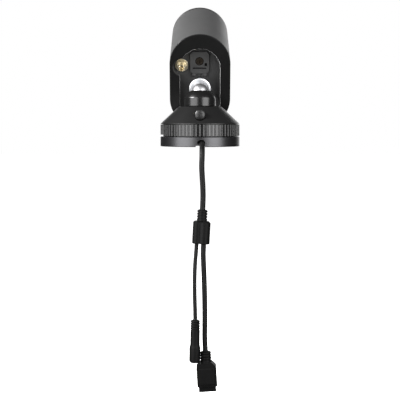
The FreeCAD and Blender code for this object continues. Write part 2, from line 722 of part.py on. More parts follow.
def base_plate():
    """Dish that is screwed down, with the spigot and the lugs that the lock ring grips."""
    body = turned("base_plate_body", [
        (D.lead_hole, 0),
        (D.base_radius - D.base_edge, 0),
        (D.base_radius, D.base_edge),
        (D.base_radius, D.base_height - D.base_edge),
        (D.base_radius - D.base_edge, D.base_height),
        (D.spigot_radius, D.base_height),
        (D.spigot_radius, D.spigot_top),
        (D.spigot_inside, D.spigot_top),
        (D.spigot_inside, D.base_floor),
        (D.lead_hole, D.base_floor),
    ])
    lug_sketch = body_sketch(body, "lug_outline", "XY_Plane")
    draw_polygon(lug_sketch, [
        (-D.lug_half, D.spigot_inside + 1),
        (D.lug_half, D.spigot_inside + 1),
        (D.lug_half, D.spigot_radius + D.lug_reach),
        (-D.lug_half, D.spigot_radius + D.lug_reach),
    ])
    lug_sketch.setExpression("AttachmentOffset.Base.z", D.lug_low.text)
    lug = body.newObject("PartDesign::Pad", "lug")
    lug.Profile = lug_sketch
    lug.setExpression("Length", (D.lug_high - D.lug_low).text)
    lugs = body.newObject("PartDesign::PolarPattern", "lugs")
    lugs.Originals = [lug]
    lugs.Axis = (lug_sketch, ["N_Axis"])
    lugs.Angle = 360
    lugs.Occurrences = LUG_COUNT
    body.Tip = lugs
    doc.recompute()
    before = body.Shape.Volume
    hole_sketch = body_sketch(body, "screw_outline", "XY_Plane")
    circle = hole_sketch.addGeometry(Part.Circle(Vector(0, D.screw_circle.value, 0), Vector(0, 0, 1),
                                                 D.screw_hole.value))
    pin_down(hole_sketch, circle, 3, 0, D.screw_circle)
    hold_radius(hole_sketch, circle, D.screw_hole)
    hole = body.newObject("PartDesign::Pocket", "screw_hole")
    hole.Profile = hole_sketch
    hole.Reversed = True
    hole.setExpression("Length", D.base_floor.text)
    sink_sketch = body_sketch(body, "sink_outline", "XY_Plane")
    sink_circle = Part.Circle(Vector(0, D.screw_circle.value, 0), Vector(0, 0, 1), D.screw_sink.value)
    circle = sink_sketch.addGeometry(sink_circle)
    pin_down(sink_sketch, circle, 3, 0, D.screw_circle)
    hold_radius(sink_sketch, circle, D.screw_sink)
    sink_sketch.setExpression("AttachmentOffset.Base.z", D.base_floor.text)
    sink = body.newObject("PartDesign::Pocket", "screw_sink")
    sink.Profile = sink_sketch
    sink.setExpression("Length", D.screw_sink_depth.text)
    holes = body.newObject("PartDesign::PolarPattern", "screw_holes")
    holes.Originals = [hole, sink]
    holes.Axis = (hole_sketch, ["N_Axis"])
    holes.Angle = 360
    holes.Occurrences = SCREW_COUNT
    body.Tip = holes
    doc.recompute()
    if body.Shape.Volume > before - 10:
        raise ValueError("the screw holes cut nothing")
    channel = body_sketch(body, "notch_outline")
    left = D.notch_centre - D.notch_half
    right = D.notch_centre + D.notch_half
    draw_polygon(channel, [
        (left - D.notch_flare, -1),
        (left - D.notch_flare, D.notch_foot),
        (left, D.notch_flare + D.notch_foot),
        (left, D.notch_height - D.notch_flare),
        (left + D.notch_flare, D.notch_height),
        (right - D.notch_flare, D.notch_height),
        (right, D.notch_height - D.notch_flare),
        (right, -1),
    ])
    notch = body.newObject("PartDesign::Pocket", "notch")
    notch.Profile = channel
    notch.Reversed = True
    notch.setExpression("Length", (D.base_radius + 1).text)
    doc.recompute()
    pilots = clamp_rods("clamp_pilot", D.clamp_screw, 0, D.base_floor + 1)
    return keep("base_plate", cut("base_plate", body, *pilots))


def clamp_rods(name, radius, low, high):
    """Upright rods at the places of the two clamp screws."""
    middle = D.clamp_start + D.clamp_length / 2
    reach = D.clamp_half - D.clamp_inset
    places = (D.notch_centre - reach, D.notch_centre + reach)
    return [drum(name, radius, low, high, x, middle) for x in places]


def cable_clamp():
    """Bridge that holds the cable down in the base."""
    low = D.base_floor
    end = D.clamp_start + D.clamp_length
    bridge = block("clamp_bridge", D.notch_centre - D.clamp_half, D.notch_centre + D.clamp_half,
                   D.clamp_start, end, low, D.clamp_top)
    way = rod("clamp_way", D.cable_radius, D.clamp_start - 1, end + 1, MAIN_ROUTE[0][0], D.cable_level)
    mouth = block("clamp_mouth", MAIN_ROUTE[0][0] - D.cable_radius, MAIN_ROUTE[0][0] + D.cable_radius,
                  D.clamp_start - 1, end + 1, 0, D.cable_level)
    holes = clamp_rods("clamp_hole", D.clamp_screw, 0, D.clamp_top + 1)
    return keep("cable_clamp", cut("cable_clamp", bridge, way, mouth, *holes))


def clamp_screws():
    """Two pan-head screws of the cable clamp."""
    shanks = clamp_rods("clamp_shank", D.clamp_screw, 0.4, D.clamp_top + 0.1)
    heads = clamp_rods("clamp_head", D.clamp_screw * 1.8, D.clamp_top, D.clamp_top + 1.6)
    screws = [joined("clamp_screw", shank, head) for shank, head in zip(shanks, heads)]
    return keep("clamp_screws", grouped("clamp_screws", *screws))


def inner_lead():
    """The cable inside the base: from the clamp to the axis and up into the post."""
    x = MAIN_ROUTE[0][0]
    level = D.cable_level.value
    start = D.clamp_start.value
    route = ((x, start, level), (x, start + 14, level), (0, -3.5, level + 2.4), (0, 0, level + 12.4),
             (0, 0, level + 23.0))
    return keep("inner_lead", tube("inner_lead", route, D.cable_radius))


def base_seal():
    """Rubber ring on the spigot, under the cone."""
    top = D.spigot_top + D.seal_thickness
    return keep("base_seal", ring("base_seal", D.spigot_inside, D.spigot_radius, D.spigot_top, top))


def mount_cone():
    """Cone cover with the hub that the post turns in and the pocket of the lock knob."""
    flange_low = D.spigot_top + D.seal_thickness
    neck = D.ring_core - D.ring_neck
    wall_top = D.cone_top - D.cone_wall
    shell = turned("cone_shell", [
        (D.post_radius + D.fit, D.hub_bottom),
        (D.hub_radius, D.hub_bottom),
        (D.hub_radius, wall_top),
        (D.cone_top_radius - D.cone_wall, wall_top),
        (D.spigot_inside, D.cone_foot + 1.2),
        (D.spigot_inside, flange_low),
        (D.cone_flange, flange_low),
        (D.cone_flange, flange_low + D.flange_thickness),
        (neck, flange_low + D.flange_thickness),
        (neck, D.cone_foot),
        (D.cone_radius, D.cone_foot),
        (D.cone_radius, D.cone_foot + D.cone_foot_edge),
        (D.cone_top_radius + 0.5, D.cone_top - 0.4),
        (D.cone_top_radius, D.cone_top),
        (D.post_radius + D.fit, D.cone_top),
    ])
    filled = turned("cone_outside", [
        (0, D.cone_foot),
        (D.cone_radius, D.cone_foot),
        (D.cone_radius, D.cone_foot + D.cone_foot_edge),
        (D.cone_top_radius, D.cone_top),
        (0, D.cone_top),
    ])
    boss = rod("knob_boss", D.knob_radius + D.knob_gap + 1.8, -D.cone_radius, -D.hub_radius + 0.6, 0,
               D.knob_height)
    inside_boss = overlap("knob_boss_inside", filled, boss)
    pocket = rod("knob_pocket", D.knob_radius + D.knob_gap, -D.cone_radius - 1, -D.knob_back, 0,
                 D.knob_height)
    thread = rod("knob_thread", D.knob_screw + D.fit, -D.cone_radius, -D.post_radius, 0, D.knob_height)
    return keep("mount_cone", cut("mount_cone", joined("cone_body", shell, inside_boss), pocket, thread))


def lock_ring():
    """Knurled bayonet ring that holds the cone down on the base."""
    inner = D.spigot_radius + D.loose_gap
    channel = D.cone_flange + D.loose_gap
    lip = D.ring_core - D.ring_neck + D.loose_gap
    channel_top = D.spigot_top + D.seal_thickness + D.flange_thickness + D.loose_gap
    body = turned("ring_body", [
        (inner, D.ring_bottom),
        (D.ring_core - D.ring_edge, D.ring_bottom),
        (D.ring_core, D.ring_bottom + D.ring_edge),
        (D.ring_core, D.ring_top - D.ring_edge),
        (D.ring_core - D.ring_edge, D.ring_top),
        (lip, D.ring_top),
        (lip, channel_top),
        (channel, channel_top),
        (channel, D.ring_bottom + D.ring_lip),
        (inner, D.ring_bottom + D.ring_lip),
    ])
    outline = body_sketch(body, "rib_outline", "XY_Plane")
    rib_circle = Part.Circle(Vector(D.ring_core.value, 0, 0), Vector(0, 0, 1), D.rib_radius.value)
    circle = outline.addGeometry(rib_circle)
    pin_down(outline, circle, 3, D.ring_core, 0)
    hold_radius(outline, circle, D.rib_radius)
    outline.setExpression("AttachmentOffset.Base.z", (D.ring_bottom + D.rib_margin).text)
    rib = body.newObject("PartDesign::Pad", "rib")
    rib.Profile = outline
    rib.setExpression("Length", (D.ring_top - D.ring_bottom - D.rib_margin * 2).text)
    ribs = body.newObject("PartDesign::PolarPattern", "ribs")
    ribs.Originals = [rib]
    ribs.Axis = (outline, ["N_Axis"])
    ribs.Angle = 360
    ribs.Occurrences = RIB_COUNT
    body.Tip = ribs
    reach = D.ring_core + D.rib_radius + 1
    low = D.ring_bottom - 1
    pry = block("pry_notch", -reach, -(D.ring_core - D.pry_depth + 1.0), -D.pry_half, D.pry_half,
                low, D.ring_bottom + D.pry_height)
    entries = []
    wide = D.lug_half + D.entry_gap
    for number in range(1, LUG_COUNT + 1):
        entry = block("lug_entry", -wide, wide, D.spigot_radius - 1,
                      D.cone_flange + D.loose_gap, low, D.ring_bottom + D.ring_lip + 1)
        turn = number * 360 / LUG_COUNT - D.ring_turn
        entries.append(move(joined("lug_entry_turned", entry, entry_twin(entry)), 0, 0, 0, (Z_AXIS, turn)))
    return keep("lock_ring", cut("lock_ring", body, pry, *entries))


def entry_twin(entry):
    """A second, slightly wider box over a lug entry, so that the entry's mouth is eased."""
    wide = D.lug_half + D.entry_gap + D.entry_ease
    return block("lug_entry_mouth", -wide, wide, D.spigot_radius - 1, D.cone_flange - 0.4,
                 D.ring_bottom - 1, D.ring_bottom + 0.8)


def pan_lock():
    """Thumb screw in the cone that presses on the post."""
    face = D.knob_front + D.knob_dome
    head = turned("knob_head", [
        (0, D.knob_back),
        (D.knob_radius, D.knob_back),
        (D.knob_radius, D.knob_front),
        (D.knob_radius * 0.8, D.knob_front + D.knob_dome * 0.6),
        (D.knob_radius * 0.45, face - D.knob_dome * 0.08),
        (0, face),
    ])
    screw = drum("knob_shank", D.knob_screw, D.post_radius + D.loose_gap, D.knob_back + 1)
    knob = joined("pan_lock", head, screw)
    return keep("pan_lock", move(knob, 0, 0, D.knob_height, (X_AXIS, 90)))


# ---------------------------------------------------------------- post

def collar_post():
    """The part that pans: a post in the hub, and above it the collar that the ball sits in."""
    bore = D.ball_radius + D.fit
    shoulder = D.cone_top + D.loose_gap
    groove = D.post_radius - D.clip_depth
    rim = D.ball_height + D.rim_rise
    clip_high = D.clip_low + D.clip_thickness
    body = turned("collar_body", [
        (bore, D.post_bottom),
        (D.post_radius, D.post_bottom),
        (D.post_radius, D.clip_low),
        (groove, D.clip_low),
        (groove, clip_high),
        (D.post_radius, clip_high),
        (D.post_radius, shoulder),
        (D.collar_radius - 0.5, shoulder),
        (D.collar_radius, shoulder + 0.5),
        (D.collar_radius, rim),
        (bore - 0.09, rim),
        (bore, rim - 1),
    ])
    crown_centre = rim - D.crown_drop
    crown = primitive("Sphere", "crown_sphere", Radius=D.crown_radius)
    move(crown, 0, 0, crown_centre)
    column = drum("crown_column", D.crown_radius, D.post_bottom - 1, crown_centre)
    rounded = overlap("collar_rounded", body, joined("crown_limit", crown, column))
    slot_low = D.ball_height - 2.7
    slot = block("neck_slot", -D.neck_radius - 0.5, D.neck_radius + 0.5, 0, D.collar_radius + 1,
                 slot_low, rim + 1)
    return keep("collar_post", cut("collar_post", rounded, slot, flange_relief()))


def flange_relief():
    """The room that the stud's flange sweeps through beside the socket as the head tilts."""
    reach = D.flange_radius + 0.7
    sweep = primitive("Cylinder", "flange_sweep", Radius=D.collar_radius + 1.6, Height=reach * 2, Angle=100)
    core = primitive("Cylinder", "flange_core", Radius=D.flange_start - 0.15, Height=reach * 2 + 2)
    turn_up = ((X_AXIS, -38), (DIAGONAL, 120))
    move(sweep, -reach, 0, D.ball_height, *turn_up)
    move(core, -reach - 1, 0, D.ball_height, *turn_up)
    return cut("flange_relief", sweep, core)


def ball_seat():
    """Hard plastic cup under the ball."""
    blank = ring("seat_blank", D.lead_bore, D.ball_radius, D.seat_bottom, D.seat_top)
    ball = primitive("Sphere", "seat_sphere", Radius=D.ball_radius + D.fit)
    move(ball, 0, 0, D.ball_height)
    return keep("ball_seat", cut("ball_seat", blank, ball))


def seat_springs():
    """Two disc springs, back to back, that press the seat up."""
    low = D.seat_bottom - D.spring_height
    middle = D.seat_bottom - D.spring_height / 2
    inner = D.lead_bore + 0.4
    outer = D.ball_radius - 0.2
    lower = turned("lower_disc", [
        (inner, middle - D.spring_metal), (outer, low), (outer, low + D.spring_metal), (inner, middle)])
    upper = turned("upper_disc", [
        (inner, middle), (outer, D.seat_bottom - D.spring_metal), (outer, D.seat_bottom),
        (inner, middle + D.spring_metal)])
    return keep("seat_springs", grouped("seat_springs", lower, upper))


def seat_plug():
    """Threaded ring that closes the post and loads the springs."""
    high = D.seat_bottom - D.spring_height
    low = high - D.plug_height
    blank = ring("plug_blank", D.lead_bore, D.ball_radius, low, high)
    slot = block("plug_slot", -D.ball_radius - 1, D.ball_radius + 1, -1, 1, low - 1, low + 1.8)
    return keep("seat_plug", cut("seat_plug", blank, slot))


def post_washer():
    """Sliding washer between the hub and the clip."""
    low = D.clip_low + D.clip_thickness
    piece = ring("post_washer", D.post_radius + D.fit, D.hub_radius - 1, low, low + D.washer_thickness)
    return keep("post_washer", piece)


def post_clip():
    """Snap ring in the post's groove."""
    blank = ring("clip_blank", D.post_radius - D.clip_depth, D.clip_radius, D.clip_low,
                 D.clip_low + D.clip_thickness)
    gap = block("clip_gap", D.post_radius - 3, D.clip_radius + 1, -3, 3, D.clip_low - 1, D.clip_low + 3)
    return keep("post_clip", cut("post_clip", blank, gap))


# ---------------------------------------------------------------- stud

def ball_stud():
    """Chromed ball with a neck, a flange and a hollow shank."""
    ball = primitive("Sphere", "ball", Radius=D.ball_radius)
    neck = rod("neck", D.neck_radius, 0, D.flange_start + 0.5)
    flange = turned_forward("flange", [
        (0, D.flange_start),
        (D.flange_radius - D.flange_rim, D.flange_start),
        (D.flange_radius, D.flange_start + D.flange_rim_depth),
        (D.flange_radius, D.flange_end - D.flange_edge),
        (D.flange_radius - D.flange_edge, D.flange_end),
        (0, D.flange_end),
    ])
    shank = rod("shank", D.shank_radius, D.flange_end - 0.5, D.shank_end)
    bore = rod("stud_way", D.stud_bore, -D.ball_radius - 1, D.shank_end + 1)
    down = primitive("Cylinder", "lower_way", Radius=D.stud_bore, Height=D.ball_radius + 1)
    move(down, 0, 0, 0, (X_AXIS, 180))
    slant = primitive("Cylinder", "slanted_way", Radius=D.stud_bore, Height=D.ball_radius + 1)
    move(slant, 0, 0, 0, (X_AXIS, 135))
    solid = joined("stud_solid", ball, neck, flange, shank)
    return keep("ball_stud", cut("ball_stud", solid, bore, down, slant), head_frame())


def stud_nut():
    """Nut on the end of the stud, inside the head."""
    start = D.head_start + D.recess_depth + D.insert_length + 0.1
    outside = hexagon("stud_nut_outside", D.nut_flats, start, D.nut_height)
    hole = rod("stud_nut_hole", D.shank_radius, start - 1, start + D.nut_height + 1)
    return keep("stud_nut", cut("stud_nut", outside, hole), head_frame())


def stud_lead():
    """The cable where it runs inside the stud."""
    return keep("stud_lead", rod("stud_lead", D.cable_radius, 0, D.shank_end + 4), head_frame())


# ---------------------------------------------------------------- rear of the head

def recess_floor():
    return D.head_start + D.recess_depth


def body_shell():
    """Extruded tube of the head, notched below where the recess is open."""
    start = D.head_start + D.cap_plate + D.head_seal
    end = D.head_start + D.head_length - D.bezel_depth - D.head_seal
    tube_wall = pill_ring("shell_tube", D.pill_radius, D.pill_radius - D.shell_wall, start, end)
    half = D.recess_half + D.recess_wall + D.shell_gap
    notch = block("shell_notch", -half, half, start - 1, recess_floor() + D.recess_wall + D.shell_gap,
                  D.pill_low - D.pill_radius - 1, D.pill_low)
    return keep("body_shell", cut("body_shell", tube_wall, notch), head_frame())


def rear_cap():
    """Rear cap with the recess for the ball mount, the aerial pocket and the door's rebate."""
    face = D.head_start
    plate_end = face + D.cap_plate
    back = recess_floor() + D.recess_wall
    bottom = D.pill_low - D.pill_radius - 2
    plate = pill("cap_plate_slab", D.pill_radius, face, plate_end)
    edge = doc.addObject("Part::Chamfer", "cap_plate_edge")
    edge.Base = plate
    doc.recompute()
    outer = []
    for index, item in enumerate(plate.Shape.Edges, start=1):
        if all(abs(vertex.Point.y - face.value) < 1e-6 for vertex in item.Vertexes):
            outer.append((index, D.cap_edge.value, D.cap_edge.value))
    edge.Edges = outer
    inner_radius = D.pill_radius - D.shell_wall - D.shell_gap
    spigot = pill_ring("cap_spigot", inner_radius, inner_radius - 1.6, plate_end, plate_end + 6)
    tub_outline = arch_outline("tub_outline", D.recess_half + D.recess_wall, bottom, plate_end - 0.5)
    tub = slab("tub", tub_outline, back - plate_end + 0.5)
    head_solid = pill("tub_limit", D.pill_radius, plate_end - 0.5, back)
    pocket_wall = rod("aerial_wall", D.aerial_pocket + D.aerial_wall, plate_end - 0.5, back, D.aerial_x,
                      D.aerial_z)
    wall_limit = pill("aerial_wall_limit", inner_radius, plate_end - 0.5, back)
    solid = joined("cap_solid", edge, spigot, overlap("tub_inside", tub, head_solid),
                   overlap("aerial_wall_inside", pocket_wall, wall_limit))
    recess_outline = arch_outline("recess_outline", D.recess_half, bottom, face - 1)
    recess = slab("recess", recess_outline, D.recess_depth + 1)
    aerial_pocket = rod("aerial_pocket_way", D.aerial_pocket, face - 1, D.aerial_floor, D.aerial_x,
                        D.aerial_z)
    aerial_hole = rod("aerial_hole", D.aerial_barrel + D.fit, face, back + 4, D.aerial_x, D.aerial_z)
    insert_hole = rod("insert_hole", D.insert_face + D.fit, face, back + 1)
    rebate_half = D.door_half + D.door_gap
    rebate = rounded_plate("door_rebate_way", rebate_half, D.door_low - D.door_gap, D.door_high + D.door_gap,
                           D.door_corner + D.door_gap, recess_floor() - 1, recess_floor() + D.door_rebate,
                           D.door_x)
    card_window = block("card_window", D.door_x - D.window_half, D.door_x + D.window_half,
                        recess_floor() - 1, back + 1, D.card_window_low, D.card_window_high)
    lock_hole = rod("lock_hole", D.lock_screw + D.lock_play, face, back + 1, D.door_x, D.lock_z)
    open_cap = cut("cap_open", solid, recess, aerial_pocket, aerial_hole, insert_hole, rebate, card_window,
                   lock_hole)
    return keep("rear_cap", joined("rear_cap", open_cap, *hinge_ears()), head_frame())


def hinge_line():
    return recess_floor() - D.hinge_out


def door_faces():
    """Outer and inner face of the service door's panel."""
    inner = recess_floor() + D.door_rebate - D.door_seal_width
    return inner - D.door_thickness, inner


def hinge_places():
    return (D.door_x - D.hinge_spread, D.door_x + D.hinge_spread)


def hinge_ears():
    """Two ears beside each door knuckle, bored for the pin."""
    ears = []
    inner = D.knuckle_half + D.fit * 2
    outer = inner + D.ear_thickness
    for middle in hinge_places():
        for side_low, side_high in ((middle - outer, middle - inner), (middle + inner, middle + outer)):
            barrel = axle("ear_barrel", D.knuckle_radius, side_low, side_high, hinge_line(), D.hinge_z)
            foot = block("ear_foot", side_low, side_high, hinge_line(), recess_floor() + 0.5,
                         D.hinge_z - D.knuckle_radius, D.hinge_z + D.knuckle_radius * 0.4)
            hole = axle("ear_hole", D.hinge_pin, side_low - 1, side_high + 1, hinge_line(), D.hinge_z)
            ears.append(cut("hinge_ear", joined("ear_solid", barrel, foot), hole))
    return ears


def hinge_pins():
    """Two pins held in the ears."""
    reach = D.knuckle_half + D.fit * 2 + D.ear_thickness
    pins = [axle("hinge_pin_rod", D.hinge_pin, middle - reach, middle + reach, hinge_line(), D.hinge_z)
            for middle in hinge_places()]
    return keep("hinge_pins", grouped("hinge_pins", *pins), head_frame())


def rear_seal():
    """Rubber gasket between the rear cap and the shell."""
    start = D.head_start + D.cap_plate
    whole = pill_ring("rear_seal_ring", D.pill_radius - D.cap_edge, D.pill_radius - D.shell_wall, start,
                      start + D.head_seal)
    half = D.recess_half + D.recess_wall + D.shell_gap
    gap = block("rear_seal_gap", -half, half, start - 1, start + 2, D.pill_low - D.pill_radius - 1, D.pill_low)
    return keep("rear_seal", cut("rear_seal", whole, gap), head_frame())


def threaded_insert():
    """Stepped bush in the recess wall that the stud turns in."""
    floor = recess_floor()
    back = floor + D.recess_wall
    bore = D.shank_radius + D.fit
    piece = turned_forward("threaded_insert", [
        (bore, floor - D.insert_proud),
        (D.insert_face, floor - D.insert_proud),
        (D.insert_face, back),
        (D.insert_radius, back),
        (D.insert_radius, floor + D.insert_length),
        (bore, floor + D.insert_length),
    ])
    return keep("threaded_insert", piece, head_frame())


def aerial_nut_span():
    """Start and end of the aerial nut."""
    end = D.aerial_floor - D.aerial_washer_thickness
    return end - D.aerial_nut_height, end


def aerial_socket():
    """Gold-plated threaded socket for a screw-on aerial, with a relieved thread under its nut."""
    tip = D.aerial_floor - D.aerial_out
    end = D.aerial_floor + D.aerial_in
    nut_start, nut_end = aerial_nut_span()
    flange_start = recess_floor() + D.recess_wall
    flange_end = flange_start + D.aerial_flange_thickness
    mouth_end = tip + D.aerial_mouth_depth
    barrel = turned_forward("aerial_barrel", [
        (D.aerial_mouth, tip),
        (D.aerial_barrel, tip),
        (D.aerial_barrel, nut_start),
        (D.aerial_root, nut_start),
        (D.aerial_root, nut_end),
        (D.aerial_barrel, nut_end),
        (D.aerial_barrel, flange_start),
        (D.aerial_flange, flange_start),
        (D.aerial_flange, flange_end),
        (D.aerial_barrel, flange_end),
        (D.aerial_barrel, end),
        (0, end),
        (0, mouth_end),
        (D.aerial_mouth, mouth_end),
    ], D.aerial_x, D.aerial_z)
    contact = rod("aerial_contact_rod", D.aerial_contact, tip + 1.2, mouth_end + 1, D.aerial_x, D.aerial_z)
    return keep("aerial_socket", joined("aerial_socket", barrel, contact), head_frame())


def aerial_washer():
    start = aerial_nut_span()[1]
    disc = rod("aerial_washer_disc", D.aerial_washer, start, D.aerial_floor, D.aerial_x, D.aerial_z)
    hole = rod("aerial_washer_hole", D.aerial_barrel + D.fit, start - 1, D.aerial_floor + 1, D.aerial_x,
               D.aerial_z)
    return keep("aerial_washer", cut("aerial_washer", disc, hole), head_frame())


def aerial_nut():
    start, end = aerial_nut_span()
    outside = hexagon("aerial_nut_outside", D.aerial_nut_flats, start, D.aerial_nut_height, D.aerial_x,
                      D.aerial_z)
    hole = rod("aerial_nut_hole", D.aerial_root + D.fit, start - 1, end + 1, D.aerial_x, D.aerial_z)
    return keep("aerial_nut", cut("aerial_nut", outside, hole), head_frame())


def aerial_lead():
    """Thin lead from the aerial socket to the main board."""
    x = D.aerial_x.value
    start = (D.aerial_floor + D.aerial_in).value
    high = D.aerial_z.value
    low = (D.main_board_z + D.board_thickness).value + 1.8
    route = ((x, start, high), (x, start + 9, high), (x + 1, start + 17, high - 1.6), (x + 2, start + 24, low))
    return keep("aerial_lead", tube("aerial_lead", route, D.coax_radius), head_frame())


# ---------------------------------------------------------------- service door

def service_door():
    """Hinged door over the card slot and the reset button."""
    outer, inner = door_faces()
    panel = rounded_plate("door_panel", D.door_half, D.door_low, D.door_high, D.door_corner, outer, inner,
                          D.door_x)
    well = rod("lock_well_way", D.lock_well, outer - 1, outer + D.door_thickness * 0.5, D.door_x, D.lock_z)
    way = rod("lock_way", D.lock_screw + D.fit, outer - 1, inner + 1, D.door_x, D.lock_z)
    floor = outer + D.nail_slot_depth
    nail_low = D.nail_slot_z - D.nail_slot_height / 2
    nail = block("nail_slot", D.door_x - D.nail_slot_half, D.door_x + D.nail_slot_half, outer - 1, floor,
                 nail_low, nail_low + D.nail_slot_height)
    latch_low = D.lock_z - D.latch_drop
    latch_left = D.door_x + D.latch_left
    latch = block("key_slot", latch_left, latch_left + D.latch_width, outer - 1, floor, latch_low,
                  latch_low + D.latch_height)
    panel_open = cut("door_open", panel, well, way, nail, latch)
    pieces = [panel_open]
    for middle in hinge_places():
        barrel = axle("door_knuckle", D.knuckle_radius, middle - D.knuckle_half, middle + D.knuckle_half,
                      hinge_line(), D.hinge_z)
        arm = block("door_arm", middle - D.knuckle_half, middle + D.knuckle_half, outer,
                    inner - 0.5, D.hinge_z, D.door_low + 1)
        hole = axle("knuckle_hole", D.hinge_pin + D.fit, middle - D.knuckle_half - 1,
                    middle + D.knuckle_half + 1, hinge_line(), D.hinge_z)
        pieces.append(cut("knuckle", joined("knuckle_solid", barrel, arm), hole))
    return keep("service_door", joined("service_door", *pieces), head_frame())


def door_seal():
    """Rubber ring on the door's inner face."""
    end = recess_floor() + D.door_rebate - 0.1
    start = recess_floor() + D.door_rebate - D.door_seal_width
    half = D.door_half - 0.3
    low = D.door_low + 0.3
    high = D.door_high - 0.3
    width = D.door_seal_width / 2
    corner = D.door_corner - 0.3
    outside = rounded_plate("door_seal_outside", half, low, high, corner, start, end, D.door_x)
    inside = rounded_plate("door_seal_inside", half - width, low + width, high - width, corner - width,
                           start - 1, end + 1, D.door_x)
    return keep("door_seal", cut("door_seal", outside, inside), head_frame())


def door_lock():
    """Captive screw of the door, with a coin slot and a cross."""
    outer, inner = door_faces()
    seat = outer + D.door_thickness * 0.5
    head = rod("lock_head", D.lock_radius, outer - 0.2, seat, D.door_x, D.lock_z)
    screw = rod("lock_shank", D.lock_screw, seat - 0.5, outer + D.lock_reach, D.door_x, D.lock_z)
    floor = outer + D.lock_groove_depth
    half = D.lock_groove
    long = D.lock_radius * 0.75
    short = D.lock_radius * 0.5
    slot = block("lock_slot", D.door_x - long, D.door_x + long, outer - 1, floor, D.lock_z - half,
                 D.lock_z + half)
    cross = block("lock_cross", D.door_x - half, D.door_x + half, outer - 1, floor, D.lock_z - short,
                  D.lock_z + short)
    return keep("door_lock", cut("door_lock", joined("lock_solid", head, screw), slot, cross), head_frame())


def card_slot():
    """Sheet-metal slot on the main board that holds the memory card."""
    board_top = D.main_board_z + D.board_thickness
    half = D.card_half + D.card_gap + D.slot_wall
    end = D.card_start + D.card_length + D.card_travel + D.card_gap + D.slot_wall
    box = block("slot_box", D.door_x - half, D.door_x + half, D.slot_start, end, board_top,
                D.card_z + D.card_thickness / 2 + D.card_gap + D.slot_wall)
    way = block("slot_way", D.door_x - D.card_half - D.card_gap, D.door_x + D.card_half + D.card_gap,
                D.slot_start - 1, end - D.slot_wall, D.card_z - D.card_thickness / 2 - D.card_gap,
                D.card_z + D.card_thickness / 2 + D.card_gap)
    return keep("card_slot", cut("card_slot", box, way), head_frame())


def memory_card():
    """Memory card with its notched side."""
    blank = block("card_blank", D.door_x - D.card_half, D.door_x + D.card_half, D.card_start,
                  D.card_start + D.card_length, D.card_z - D.card_thickness / 2,
                  D.card_z + D.card_thickness / 2)
    side = D.door_x + D.card_half
    notch = block("card_notch", side - 1.3, side + 1, D.card_start + D.card_length * 0.55,
                  D.card_start + D.card_length + 1, D.card_z - 1, D.card_z + 1)
    return keep("memory_card", cut("memory_card", blank, notch), head_frame())


def reset_switch():
    """Body of the reset switch, on top of the card slot."""
    low = D.card_z + D.card_thickness / 2 + D.card_gap + D.slot_wall
    start = D.reset_start + D.reset_travel + 1.5
    box = block("reset_box", D.reset_x - 2.6, D.reset_x + 2.6, start, start + 5, low, D.reset_z + 2.4)
    way = rod("reset_way", D.reset_radius + D.fit, start - 1, start + 2.5, D.reset_x, D.reset_z)
    return keep("reset_switch", cut("reset_switch", box, way), head_frame())


def reset_button():
    """Plunger of the reset switch."""
    end = D.reset_start + 3.0
    return keep("reset_button", rod("reset_button", D.reset_radius, D.reset_start, end, D.reset_x, D.reset_z),
                head_frame())


# ---------------------------------------------------------------- front of the head

def front_end():
    return D.head_start + D.head_length


def front_seal():
    """Rubber gasket between the shell and the bezel."""
    end = front_end() - D.bezel_depth
    piece = pill_ring("front_seal", D.pill_radius - D.cap_edge, D.pill_radius - D.shell_wall,
                      end - D.head_seal, end)
    return keep("front_seal", piece, head_frame())


def front_bezel():
    """Front frame that carries the window."""
    front = front_end()
    back = front - D.bezel_depth
    outside = pill("bezel_outside", D.pill_radius, back, front)
    spigot_radius = D.pill_radius - D.shell_wall - D.shell_gap
    spigot = pill_ring("bezel_spigot_ring", spigot_radius, spigot_radius - D.bezel_spigot_wall,
                       back - D.bezel_spigot, back + 0.5)
    lip = pill("bezel_lip_way", D.bezel_opening, back - 1, front + 1)
    rebate = pill("bezel_rebate", D.window_radius + D.shell_gap, back - 1, front - D.bezel_lip)
    frame = cut("bezel_frame", outside, lip, rebate)
    return keep("front_bezel", joined("front_bezel", frame, spigot), head_frame())


def front_window():
    """Dark clear window."""
    end = front_end() - D.bezel_lip
    piece = pill("front_window", D.window_radius, end - D.window_thickness, end)
    return keep("front_window", piece, head_frame())


def lens_shade():
    """Rubber ring that keeps lamp light out of the lens."""
    end = front_end() - D.bezel_lip - D.window_thickness
    outside = rod("shade_outside", D.shade_radius, D.lamp_board_start, end, 0, D.lens_z)
    inside = rod("shade_inside", D.shade_radius - D.shade_wall, D.lamp_board_start - 1, end + 1, 0, D.lens_z)
    return keep("lens_shade", cut("lens_shade", outside, inside), head_frame())


def lens_barrel():
    """Stepped barrel with a stop inside."""
    piece = turned_forward("lens_barrel", [
        (D.rear_glass, D.barrel_back),
        (D.barrel_rear_radius, D.barrel_back),
        (D.barrel_rear_radius, D.barrel_step),
        (D.barrel_radius, D.barrel_step),
        (D.barrel_radius, D.barrel_front),
        (D.front_glass, D.barrel_front),
        (D.front_glass, D.barrel_front - 6),
        (D.rear_glass, D.barrel_step - 4),
    ], 0, D.lens_z)
    return keep("lens_barrel", piece, head_frame())


def lens_elements():
    """Front and rear lens elements with curved faces."""
    front_low = D.barrel_front - 4.4
    front_high = front_low + D.glass_thickness
    front = turned_forward("front_element", [
        (0, front_low),
        (D.front_glass, front_low),
        (D.front_glass, front_high),
        (D.front_glass * 0.75, front_high + 1.0),
        (D.front_glass * 0.4, front_high + 1.6),
        (0, front_high + 1.8),
    ], 0, D.lens_z)
    rear_low = D.barrel_back + 1.5
    rear = rod("rear_element", D.rear_glass, rear_low, rear_low + D.glass_thickness, 0, D.lens_z)
    return keep("lens_elements", grouped("lens_elements", front, rear), head_frame())


